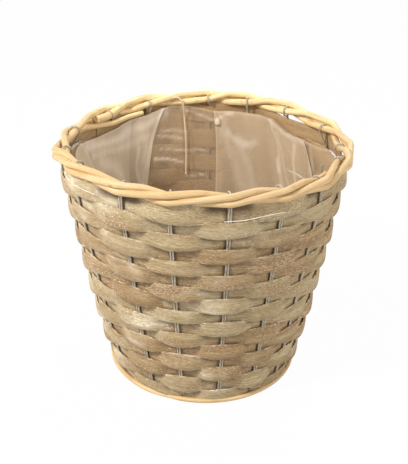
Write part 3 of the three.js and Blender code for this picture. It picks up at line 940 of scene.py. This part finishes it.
# %% The way of a wire
def leg_points(stake, side, crossing):
    """The way of one leg, from the crossing in the floor up to where its eye begins."""
    angle = float(angle_at(stake))
    aside = side * LEG_OFFSET
    points = [crossing, points_at(FAN_RADIUS, FLOOR_WIRE_HEIGHT, angle, aside)]
    for turn in np.linspace(0, math.pi / 2 - wall_tilt, 6):
        radius = BEND_CENTRE_RADIUS + BEND_RADIUS * math.sin(turn)
        points.append(points_at(radius, BEND_HEIGHT - BEND_RADIUS * math.cos(turn), angle, aside))
    heights = list(np.linspace(BEND_HEIGHT + LEG_START, knee_height, LEG_POINTS))
    if stake % 2 == 0:
        heights.append(TOP_ROW_UPPER_EDGE - 1)
    return points + [points_at(wall_radius(height), height, angle, aside) for height in heights]


def eye_points(stake):
    """The ring round a rod, from one leg to the other. On even stakes it starts from further down."""
    start = 270 if stake % 2 == 0 else 180
    made = []
    for degrees in np.linspace(start, 0, 13):
        turn = math.radians(degrees)
        aside = LEG_OFFSET * (1 - 2 * degrees / start)
        radius = EYE_RADIUS + EYE_REACH * math.cos(turn)
        height = EYE_HEIGHT + float(rim_rise(stake)) + EYE_REACH * math.sin(turn)
        made.append(points_at(radius, height, float(angle_at(stake)), aside))
    return made


def crossing_point(layer, lane, side, end):
    """A point of the floor's crossing, where four wires lie over four others."""
    forward = float(angle_at(layer * LANES) + angle_at(layer * LANES + LANES - 1)) / 2
    across = (lane - (LANES - 1) / 2) * LANE_PITCH + side * LEG_OFFSET
    height = FLOOR_WIRE_HEIGHT + (1 if layer else -1) * (WIRE_RADIUS + LAYER_GAP / 2)
    return points_at(end * SLATH_HALF_WIDTH, height, forward, across)


print("points in a leg", len(leg_points(1, 1, crossing_point(0, 1, 1, 1))), "in an eye", len(eye_points(1)))

# %% Stake wires
def stake_wire(layer, lane):
    """One wire: two stakes on opposite sides, each a pair of legs with an eye at its top."""
    near = layer * LANES + lane
    far = STAKES // 2 + layer * LANES + LANES - 1 - lane
    knots = [crossing_point(layer, lane, -1, WIRE_START)]
    knots += leg_points(near, -1, crossing_point(layer, lane, -1, 1))
    knots += eye_points(near)
    knots += leg_points(near, 1, crossing_point(layer, lane, 1, 1))[::-1]
    knots += leg_points(far, -1, crossing_point(layer, lane, 1, -1))
    knots += eye_points(far)
    knots += leg_points(far, 1, crossing_point(layer, lane, -1, -1))[::-1]
    knots.append(crossing_point(layer, lane, -1, 0))
    number = near + 1
    body = tube(np.array(knots), WIRE_RADIUS * MM, sides=10)
    return make_piece(f"doubled_wire_{number}", body, galvanised_material, [f"stake_wire_{number}"])


stake_wires = [stake_wire(layer, lane) for layer in range(2) for lane in range(LANES)]
print("wires", len(stake_wires))

# %% [markdown]
# ## The film liner
#
# The liner is a bag of thin polyethylene, pushed into the basket and caught at the rim. It is too wide
# for the basket, so it lies in pleats: over most of the wall three layers of film lie on each other
# and look milky, and where only one is left the strips show clearly through it. Its edge hangs in
# shallow arcs between the pins. Cloth simulation would crease it at random; here the pleats and the
# edge are placed where the photograph shows them, and only the small ripples are random. Its creases
# are pale lines, partly the film's own whitened creases and partly painted highlights and glints. Some
# pleats are painted lighter as painted light, and the hollows of its soft folds darker as painted shade.

# %% Film material
def polyethylene():
    film = Recipe("clear_film")
    layers = film.attribute("layers")
    # pale creases: partly the film's own whitened creases, partly painted highlights and glints
    crease_and_highlight = film.attribute("crease_and_highlight")
    haze = film.noise(film.stretched((14, 9)), 3.0)
    fold_and_shade = film.noise(film.stretched((55, 14)), 3.0, 0.5)
    fine = film.noise(film.stretched((240, 110)), 3.0, 0.6)
    one = 0.12 + haze.between(0.35, 0.7) * 0.06 + fine.between(0.55, 0.8) * 0.03
    share = crease_and_highlight * (0.75 + fine * 0.5)
    alpha = (1 - (1 - one) ** layers) + share * 0.42
    base = film.mix(haze.between(0.3, 0.7), colour(228, 202, 166), colour(214, 189, 153))
    # painted shade: the film is darker in the hollows of its soft folds
    base = film.mix((1 - fold_and_shade.between(0.3, 0.6)) * 0.35, base, colour(172, 146, 116))
    # pale where creased: partly the film's whitened creases, partly painted highlights
    base = film.mix(share, base, colour(248, 236, 218))
    height = fold_and_shade + fine * 0.12 + crease_and_highlight * 0.4
    return film.finish(
        Base_Color=base,
        Roughness=0.36 + fine * 0.1,
        Alpha=alpha.held(0.0, 0.95),
        Normal=film.bump(height, 0.003, 0.45),
    )


film_material = polyethylene()

# %% Folds, ripples and edge of the film
FILM_CLEARANCE = 2.0
FILM_STAND_OFF = WAVE_HEIGHT + STRIP_THICKNESS / 2 + FILM_CLEARANCE
FILM_FLOOR = 5.9
FILM_CORNER = 6.0
FILM_THICKNESS = 0.12
FILM_SLOPE = (float(wall_radius(WALL_HEIGHT)) - WALL_FOOT_RADIUS) / WALL_HEIGHT
film_rng = np.random.default_rng(5)
# ripples: each a noise, how fast it changes round the wall and upward, and its depth in millimetres
RIPPLES = [
    (soft_noise(film_rng, 7, 0.8, 4.0, 2), 4.2, 1.1, 0.5),
    (soft_noise(film_rng, 7, 3.0, 12.0, 2), 6.0, 0.6, 0.1),
]
crease_sway = soft_noise(film_rng, 5, 0.7, 2.5, 2)
# folds, where the film stands inward: places and depths in millimetres. They fade out towards the foot,
# and there are none below a share of the film's height.
FOLDS = [(1, 3.0), (3, 2.8), (5, 2.8), (7, 3.4), (9, 1.6), (11, 1.4), (13, 2.4), (15, 3.0)]
FOLD_HALF_WIDTH = 0.62
FOLDS_FROM = 0.3
# the film's edge: places round the wall and heights in millimetres, at the back as in the photograph
FILM_EDGE = [
    (0, 178), (1.5, 180), (3, 177.5), (4.5, 180.5), (5.6, 178), (6.44, 181.3), (6.82, 177.5),
    (7.37, 173.8), (7.9, 175.4), (8.31, 182.5), (8.65, 185), (9, 184.8), (9.36, 184.2), (9.74, 183),
    (9.92, 183), (10.13, 185), (10.38, 187), (10.6, 187.6), (10.8, 185.7), (11.05, 182), (11.47, 179.9),
    (11.89, 175.3), (12.42, 174), (12.98, 178.2), (13.2, 182), (14, 181), (15, 178), (16, 178),
]
print("the film's edge runs at", min(h for _, h in FILM_EDGE), "to", max(h for _, h in FILM_EDGE), "mm")

# %% Film surface
def edge_height(place):
    """Height of the film's upper edge at a place."""
    return np.interp(np.asarray(place) % STAKES, *zip(*FILM_EDGE))


def film_inset(place, rise):
    """How far the film stands inward of the wall, in millimetres, for a rise from 0 at its foot to 1."""
    place = np.asarray(place, float)
    folds = np.zeros(np.broadcast(place, rise).shape)
    for at, depth in FOLDS:
        apart = np.abs((place - at + STAKES / 2) % STAKES - STAKES / 2)
        round_fold = np.cos(math.pi * apart / (2 * FOLD_HALF_WIDTH)) ** 2
        folds = folds + depth * np.where(apart < FOLD_HALF_WIDTH, round_fold, 0)
    turn = place * 2 * math.pi / STAKES
    slack = 0
    for noise, around, upward, depth in RIPPLES:
        ripple = noise(around * np.cos(turn), rise * upward + around * np.sin(turn))
        slack = slack + depth * (1 + np.tanh(ripple))
    return folds * np.clip((rise - FOLDS_FROM) / (1 - FOLDS_FROM), 0, 1) + slack * np.clip(rise * 3, 0, 1)


def film_line(height):
    """Radius of the film at a height, before its folds."""
    return WALL_FOOT_RADIUS + FILM_SLOPE * height - FILM_STAND_OFF / math.cos(wall_tilt)


def film_points(place, rise, extra):
    """Points of the film's side. extra is how much further inward they lie, in millimetres."""
    top = edge_height(place)
    height = FILM_FLOOR + FILM_CORNER + rise * (top - FILM_FLOOR - FILM_CORNER)
    return points_at(film_line(height) - film_inset(place, rise) - extra, height, angle_at(place))


print("half way up, the film stands in by", round(float(film_inset(3, 0.5)), 2), "mm at a stake")

# %% Creases and painted highlights in the film
# a crease or a painted highlight shows as a bright line: places and heights along it, its width in
# millimetres, its strength
CREASES_AND_HIGHLIGHTS = [
    ([(9.4, 163), (9.25, 158.5), (9.1, 156.5), (8.95, 156.5), (8.8, 159), (8.72, 162)], 3.4, 0.3),
    ([(9.1, 158), (9.0, 161), (8.9, 159)], 4.5, 0.22),
    ([(9.61, 172), (9.29, 144), (9.05, 127), (8.84, 112)], 6, 0.2),
    ([(8.29, 180), (7.84, 137), (7.7, 110)], 1.8, 0.25),
    ([(8.12, 172), (7.62, 130)], 1.5, 0.2),
    ([(8.05, 150), (7.9, 139)], 1.6, 0.4),
    ([(7.65, 171), (7.46, 143), (7.3, 110)], 1.5, 0.35),
    ([(7.3, 172), (6.95, 150)], 2, 0.3),
    ([(9.0, 150), (8.7, 128), (8.6, 110)], 6, 0.25),
    ([(8.33, 182), (8.23, 178.4), (7.96, 176), (7.6, 174), (7.2, 174), (6.8, 177)], 1.1, 0.35),
    ([(10.42, 183), (10.13, 179.8), (9.81, 176.3), (9.4, 181)], 1.2, 0.5),
    ([(10.88, 162.6), (10.7, 160.8), (10.42, 156.4)], 1.3, 0.5),
    ([(10.86, 149.3), (10.5, 147.9), (10.04, 146.8)], 0.9, 0.6),
    ([(10.97, 138.2), (10.72, 138.1), (10.48, 137.3)], 1.3, 0.55),
    ([(10.44, 125.7), (10.33, 125.5), (10.04, 124.7)], 0.8, 0.7),
    ([(12.79, 173.2), (12.06, 165), (11.84, 165.3), (11.25, 172.3), (10.76, 182)], 4, 0.5),
    ([(12.6, 162), (12, 156), (11.5, 160), (11.1, 166)], 3, 0.3),
    ([(11.44, 155), (11.43, 121), (11.5, 100)], 2.4, 0.4),
    ([(11.15, 160), (11.35, 121), (11.5, 100)], 5, 0.3),
    ([(12.43, 150), (11.96, 134)], 6, 0.35),
    ([(10.83, 167), (10.39, 162)], 1, 0.5),
    ([(10.97, 140), (10.59, 139)], 1, 0.6),
]
# the edge is creased too, with a painted highlight along it: how strongly, from which share of the height,
# and how fast that fades in
EDGE_CREASE_AND_HIGHLIGHT = 0.22
EDGE_CREASE_FROM = 0.985
EDGE_CREASE_FADE = 0.012
CREASE_SWAY_PLACES = 0.035
CREASE_SWAY_HEIGHT = 1.6


def crease_and_highlight_at(place, height, rise):
    """How creased the film is at its points, with its painted highlights and glints, from 0 to about 1."""
    place, height, rise = np.broadcast_arrays(place % STAKES, height, rise)
    across = 2 * math.pi / STAKES * wall_radius(height)
    total = EDGE_CREASE_AND_HIGHLIGHT * smooth((rise - EDGE_CREASE_FROM) / EDGE_CREASE_FADE)
    place = place + CREASE_SWAY_PLACES * crease_sway(place * 2, height / 14)
    height = height + CREASE_SWAY_HEIGHT * crease_sway(place * 3 + 40, height / 20)
    for line, width, strength in CREASES_AND_HIGHLIGHTS:
        nearest = np.full(place.shape, 1e9)
        for (p0, h0), (p1, h1) in zip(line, line[1:]):
            way = np.stack([(p1 - p0) * across, np.full(place.shape, h1 - h0)])
            off = np.stack([(place - p0) * across, height - h0])
            share = np.clip((way * off).sum(0) / (way * way).sum(0), 0, 1)
            nearest = np.minimum(nearest, np.hypot(*(off - way * share)))
        total = total + strength * np.exp(-((nearest / width) ** 2))
    return np.clip(total, 0, 1)


print("creases_and_highlights", len(CREASES_AND_HIGHLIGHTS))

# %% The bag
# metres of grain for one place round the film
GRAIN_PER_PLACE = 0.04


def film_bag():
    """The bag itself: a flat bottom, a rounded corner and the side, as one thin closed shell."""
    columns = 384
    side_rings = 84
    place = np.arange(columns) * STAKES / columns
    shells = []
    creases_and_highlights = []
    for extra in (0.0, FILM_THICKNESS):
        rings = []
        corner = FILM_CORNER - extra
        wall_start = film_points(place, np.zeros(columns), extra) / MM
        lean = FOOT_SHIFT * (1 - wall_start[:, 2] / RIM_MIDDLE)
        start_radius = np.hypot(wall_start[:, 0] - lean, wall_start[:, 1])
        floor_height = FILM_FLOOR + extra
        for share in (0.02, 0.35, 0.7, 0.9):
            rings.append(points_at((start_radius - corner) * share, floor_height, angle_at(place)))
        for turn in np.linspace(0, math.pi / 2, 6)[:-1]:
            radius = start_radius - corner + corner * math.sin(turn)
            rings.append(points_at(radius, floor_height + corner - corner * math.cos(turn), angle_at(place)))
        crease_and_highlight = [np.zeros(columns)] * len(rings)
        for rise in np.linspace(0, 1, side_rings):
            rings.append(film_points(place, np.full(columns, rise), extra))
            crease_and_highlight.append(crease_and_highlight_at(place, rings[-1][:, 2] / MM, rise))
        shells.append(np.stack(rings))
        creases_and_highlights.append(np.stack(crease_and_highlight))
    rings = np.concatenate([shells[0], shells[1][::-1]]).transpose(1, 0, 2)[::-1]
    crease_and_highlight = np.concatenate([creases_and_highlights[0], creases_and_highlights[1][::-1]]).T[::-1]
    steps = distance_along(rings[0])
    across = np.minimum(steps, steps[-1] - steps)
    along = place * GRAIN_PER_PLACE
    points, faces, grain = swept(rings, along, across, closed=True, section_open=True)
    m = rings.shape[1]
    bottoms = [[i * m for i in range(columns)], [i * m + m - 1 for i in range(columns)][::-1]]
    grain = np.vstack([grain, np.zeros((2 * columns, 2))])
    return (points, faces + bottoms, grain), crease_and_highlight.ravel()


bag, bag_creases_and_highlights = film_bag()
print("bag faces", len(bag[1]))

# %% Pleats
# how many layers of film the bag looks like, and then the sizes of a pleat's edge and of its grain
BAG_LAYERS = 1.2
MM_PER_PLACE = 42
SHINE_WIDTH = 1.1
PANEL_WOBBLE = 0.03
PANEL_GRAIN_HEIGHT = 0.17
# the pleats: the places of both edges at the top and at the low end, the rise of that end, how far it
# stands off the bag in millimetres, its edges' painted shine, its paleness, partly milkier film and partly
# painted light, its seed and its layers
PLEATS = [
    ((10.76, 13.5), (11.88, 13.2), 0.12, 1.4, 0.12, 0.24, 21, 4.0),
    ((10.78, 11.5), (11.9, 11.95), 0.3, 2.2, 0.1, 0.14, 25, 1.6),
    ((7.45, 9.87), (4.5, 9.53), 0.05, 2.4, 0.22, 0.02, 22, 2.7),
    ((13.04, 15.0), (12.1, 14.8), 0.45, 6.4, 0.6, 0.3, 23, 2.6),
    ((1.6, 5.6), (1.9, 5.3), 0.1, 1.6, 0.4, 0.0, 24, 3.0),
]


def film_panel(top, low, lowest, stand_off, shine, milk_and_painted_light, seed):
    """A pleat: a second thickness of film that lies inside the bag between two slanting edges."""
    panel_rng = np.random.default_rng(seed)
    wobble = soft_noise(panel_rng, 5, 1.0, 4.0)
    columns = 110
    rows = 64
    share = np.linspace(0, 1, columns)
    rise = np.linspace(lowest, 1, rows)[:, None]
    down = ((1 - rise) / (1 - lowest)) ** 0.9
    start = top[0] + (low[0] - top[0]) * down + PANEL_WOBBLE * wobble(down * 3)
    end = top[1] + (low[1] - top[1]) * down + PANEL_WOBBLE * wobble(down * 3 + 20)
    place = start + (end - start) * share[None]
    rise = np.broadcast_to(rise, place.shape)
    belly = 0.55 + 0.45 * np.sin(math.pi * share) ** 0.5
    bulge = stand_off * belly[None] + 0.3 * (1 + np.tanh(wobble(place * 2 + rise)))
    back = film_points(place, rise, bulge)
    front = film_points(place, rise, bulge + FILM_THICKNESS)
    crease_and_highlight = crease_and_highlight_at(place, back[..., 2] / MM, rise)
    border = np.minimum(share, 1 - share)[None] * np.abs(end - start) * MM_PER_PLACE
    # paleness lightens a pleat, partly milkier film and partly painted light, and shine is a painted
    # highlight along its edges
    crease_and_highlight = np.clip(crease_and_highlight + milk_and_painted_light + shine * np.exp(-((border / SHINE_WIDTH) ** 2)), 0, 1)
    rings = np.concatenate([back, front[:, ::-1]], 1)
    across = np.append(share, share[::-1]) * abs(top[1] - top[0]) * GRAIN_PER_PLACE
    body = swept(rings, rise[:, 0] * PANEL_GRAIN_HEIGHT, across)
    points, faces, grain = with_caps(body, rings.shape[1])
    return (points, faces, grain[:, ::-1]), np.concatenate([crease_and_highlight, crease_and_highlight[:, ::-1]], 1).ravel()


print("pleats", len(PLEATS))

# %% The whole film
parts = [(bag, bag_creases_and_highlights, BAG_LAYERS)]
for *shape, layers in PLEATS:
    parts.append((*film_panel(*shape), layers))
film_bodies, film_creases_and_highlights, film_layers = zip(*parts)
film_values = {
    "layers": np.concatenate([np.full(len(c), count) for c, count in zip(film_creases_and_highlights, film_layers)]),
    "crease_and_highlight": np.concatenate(film_creases_and_highlights),
}
film = make_piece("clear_film_liner", joined(film_bodies), film_material, ["film_liner"], film_values)
print("film faces", len(film.data.polygons))

# %% [markdown]
# ## The tag pins
#
# The film is held with the nylon barbs that hang price tags on clothes. A tagging gun pushes them
# through the film and round a rod: a long one hangs down inside the back, a short one ends in a paddle
# beside it, and the threads of two more lie outside on the top strip, at the left and in front. The
# front one has no solid of its own.

# %% Nylon material
def nylon():
    pin = Recipe("nylon_pin")
    cloudy = pin.noise(pin.stretched((300, 300)), 2.0)
    base = pin.mix(cloudy.between(0.3, 0.7), colour(244, 236, 222), colour(222, 206, 184))
    # painted shade: pins towards the back are painted a darker beige, as if shaded
    base = pin.mix(pin.along_axis("Y").between(0.0, 0.06) * 0.8, base, colour(206, 184, 150))
    return pin.finish(Base_Color=base, Roughness=0.35 + cloudy * 0.1)


nylon_material = nylon()

# %% Smooth lines through points
def eased(knots, steps):
    """A smooth line of points through knots, by the centripetal rule that never overshoots a bend."""
    knots = np.asarray(knots, float)
    ends = np.concatenate([[2 * knots[0] - knots[1]], knots, [2 * knots[-1] - knots[-2]]])
    made = []
    for a, b, c, d in zip(ends, ends[1:], ends[2:], ends[3:]):
        t1 = np.linalg.norm(b - a) ** 0.5
        t2 = t1 + np.linalg.norm(c - b) ** 0.5
        t3 = t2 + np.linalg.norm(d - c) ** 0.5
        t = np.linspace(t1, t2, steps, endpoint=False)[:, None]
        one = (t1 - t) / t1 * a + t / t1 * b
        two = (t2 - t) / (t2 - t1) * b + (t - t1) / (t2 - t1) * c
        three = (t3 - t) / (t3 - t2) * c + (t - t2) / (t3 - t2) * d
        first = (t2 - t) / t2 * one + t / t2 * two
        second = (t3 - t) / (t3 - t1) * two + (t - t1) / (t3 - t1) * three
        made.append((t2 - t) / (t2 - t1) * first + (t - t1) / (t2 - t1) * second)
    return np.vstack([*made, knots[-1:]])


print("a corner of three points is eased to", len(eased([(0, 0, 0), (1, 0, 0), (1, 1, 0)], 6)), "points")

# %% Sizes of the pins
# the hanging pins: radius, height of the film's top, distance from the film and sideways bow
PIN_RADIUS = 0.7
PIN_TOP = 180
PIN_STAND_OFF = 2.2
PIN_BOW = 0.02
LONG_DROP = 54
FILM_SIDE_START = 12
THREAD_RADIUS = 0.28
THREAD_STAND_OFF = 3.2
# millimetres that each pin hangs down, from its lower end up
LONG_DROPS = [LONG_DROP, 52, 40, 28, 14, 1]
SHORT_DROPS = [9, 7.5, 4.5]
# a pin's way over the rods: places past its own, radii and heights
LONG_HOOK = [(0.01, 104, 186), (0.03, 104, 191), (0.07, 104.6, 195), (0.13, 106, 196), (0.18, 108, 194.5)]
SHORT_HOOK = [(0.0, 105.6, 178.5)]
# radii of a pin's lower end, step by step
LONG_END = [0.8, 0.9, 0.7]
PADDLE = [1.3, 2.0, 2.4, 2.5, 2.6, 2.6, 2.6, 2.6, 2.6, 2.5, 2.5, 2.4, 2.2, 1.9, 1.4, 0.8, 0.4, 0.3]
# threads outside: places round the wall and heights over the top row's middle
LEFT_THREAD = [(14.69, 4.9), (14.84, 2.9), (15.03, 1.2), (15.27, 1.3), (15.58, 2.0)]
FRONT_THREAD = [(1.9, -3.4), (2.25, -3.0), (2.52, -1.7), (2.74, -1.1), (3.0, -1.2)]
print("the long pin hangs down", LONG_DROP, "mm")

# %% Pins
def hanging_pin(name, node, place, drops, hook, ends):
    """A barb that hangs inside the film."""
    knots = []
    for drop in drops:
        angle = float(angle_at(place - PIN_BOW * math.sin(math.pi * min(1, drop / LONG_DROP))))
        height = PIN_TOP - drop
        rise = (height - FILM_SIDE_START) / (PIN_TOP - FILM_SIDE_START)
        inward = float(film_inset(place, rise)) + PIN_STAND_OFF
        knots.append(points_at(film_line(height) - inward, height, angle))
    for past, radius, height in hook:
        knots.append(points_at(radius, height, float(angle_at(place + past))))
    path = eased(np.array(knots), 6)
    thick = np.full(len(path), PIN_RADIUS)
    thick[: len(ends)] = ends
    return make_piece(name, tube(path, thick * MM, sides=12), nylon_material, [node])


def thread_outside(name, nodes, way):
    """A pin's thread that lies outside on the top row."""
    knots = []
    for place, lift in way:
        height = WALL_HEIGHT + lift
        knots.append(points_at(wall_radius(height) + THREAD_STAND_OFF, height, angle_at(place)))
    path = eased(np.array(knots), 8)
    return make_piece(name, tube(path, THREAD_RADIUS * MM, sides=10), nylon_material, nodes)


pins = [
    hanging_pin("nylon_barb_long", "tag_pin_long", 10.41, LONG_DROPS, LONG_HOOK, LONG_END),
    hanging_pin("nylon_barb_short", "tag_pin_short", 9.75, SHORT_DROPS, SHORT_HOOK, PADDLE),
    thread_outside("nylon_barb_outside", ["tag_pin_side"], LEFT_THREAD),
    thread_outside("nylon_thread_front", [], FRONT_THREAD),
]
print("pins", len(pins))

# %% [markdown]
# ## Light, ground and camera
#
# The photograph was taken in a light tent: soft light from all round, a little more from the upper
# left, and a white ground that burns out. White that the camera sees is set apart from the light that
# falls on the basket, so the ground reads white without bleaching the willow.

# %% White ground
GROUND_SIZE = 8
GROUND_SINK = 0.0002
GROUND_GLOW = 0.97


def ground():
    """A white ground that keeps a little of the basket's shadow."""
    bpy.ops.mesh.primitive_plane_add(size=GROUND_SIZE, location=(0, 0, -GROUND_SINK))
    plane = bpy.context.object
    plane.name = "ground"
    paper = Recipe("white_paper")
    rays = paper.node("ShaderNodeLightPath", output="Is Camera Ray")
    glow = paper.node("ShaderNodeEmission", None, {"Color": (1, 1, 1, 1), "Strength": 1.0})
    plane.data.materials.append(paper.finish(Base_Color=(0.62, 0.61, 0.6, 1), Roughness=0.9))
    diffuse = Value(paper, paper.shader.outputs[0])
    both = paper.node("ShaderNodeMixShader", None, {0: rays * GROUND_GLOW, 1: diffuse, 2: glow})
    paper.tree.links.new(both.socket, paper.tree.nodes["Material Output"].inputs[0])


ground()
print("ground is", GROUND_SIZE, "m wide")

# %% World
WORLD_ON_BASKET = 0.24
WORLD_SEEN = 1.0
world = bpy.data.worlds.new("light_tent")
bpy.context.scene.world = world
world.use_nodes = True
tree = world.node_tree
background = tree.nodes["Background"]
background.inputs["Color"].default_value = (1, 1, 1, 1)
paths = tree.nodes.new("ShaderNodeLightPath")
seen = paths.outputs["Is Camera Ray"]
for ray in ("Is Glossy Ray", "Is Transmission Ray"):
    either = tree.nodes.new("ShaderNodeMath")
    either.operation = "MAXIMUM"
    tree.links.new(seen, either.inputs[0])
    tree.links.new(paths.outputs[ray], either.inputs[1])
    seen = either.outputs[0]
strength = tree.nodes.new("ShaderNodeMapRange")
strength.inputs["To Min"].default_value = WORLD_ON_BASKET
strength.inputs["To Max"].default_value = WORLD_SEEN
tree.links.new(seen, strength.inputs["Value"])
tree.links.new(strength.outputs[0], background.inputs["Strength"])
print("world lights the basket at", WORLD_ON_BASKET, "and is seen at", WORLD_SEEN)

# %% Lamps
LAMP_AIM = Vector((0, 0, 0.1))
# soft lamps: name, place, size in metres and power in watts
LAMPS = [
    ("key", (-1.15, -0.85, 1.4), 0.22, 36),
    ("left", (-1.7, -0.3, 0.5), 0.8, 13),
    ("back", (0.3, 1.1, 1.5), 0.8, 16),
    ("fill", (1.4, -0.9, 0.9), 0.8, 19),
]
for name, place, size, power in LAMPS:
    lamp = bpy.data.lights.new(name, "AREA")
    lamp.size = size
    lamp.energy = power
    holder = bpy.data.objects.new(name, lamp)
    bpy.context.scene.collection.objects.link(holder)
    holder.location = place
    holder.rotation_euler = (LAMP_AIM - Vector(place)).to_track_quat("-Z", "Y").to_euler()
print("lamps", len(LAMPS))

# %% Camera at the photograph's angle
CAMERA_PLACE = (0.00297, -0.7001, 0.4496)
CAMERA_PITCH = 0.449
CAMERA_ROLL = 0.033
camera_data = bpy.data.cameras.new("camera")
camera_data.sensor_width = 36
camera_data.lens = 72.02
camera_data.clip_start = 0.05
camera = bpy.data.objects.new("camera", camera_data)
bpy.context.scene.collection.objects.link(camera)
camera.location = CAMERA_PLACE
camera.rotation_mode = "QUATERNION"
looking = Vector((0, math.cos(CAMERA_PITCH), -math.sin(CAMERA_PITCH))).to_track_quat("-Z", "Y")
camera.rotation_quaternion = looking @ Quaternion((0, 0, 1), CAMERA_ROLL)
bpy.context.scene.camera = camera
bpy.context.scene.view_settings.view_transform = "Standard"
print("camera", [round(x, 4) for x in camera.location])
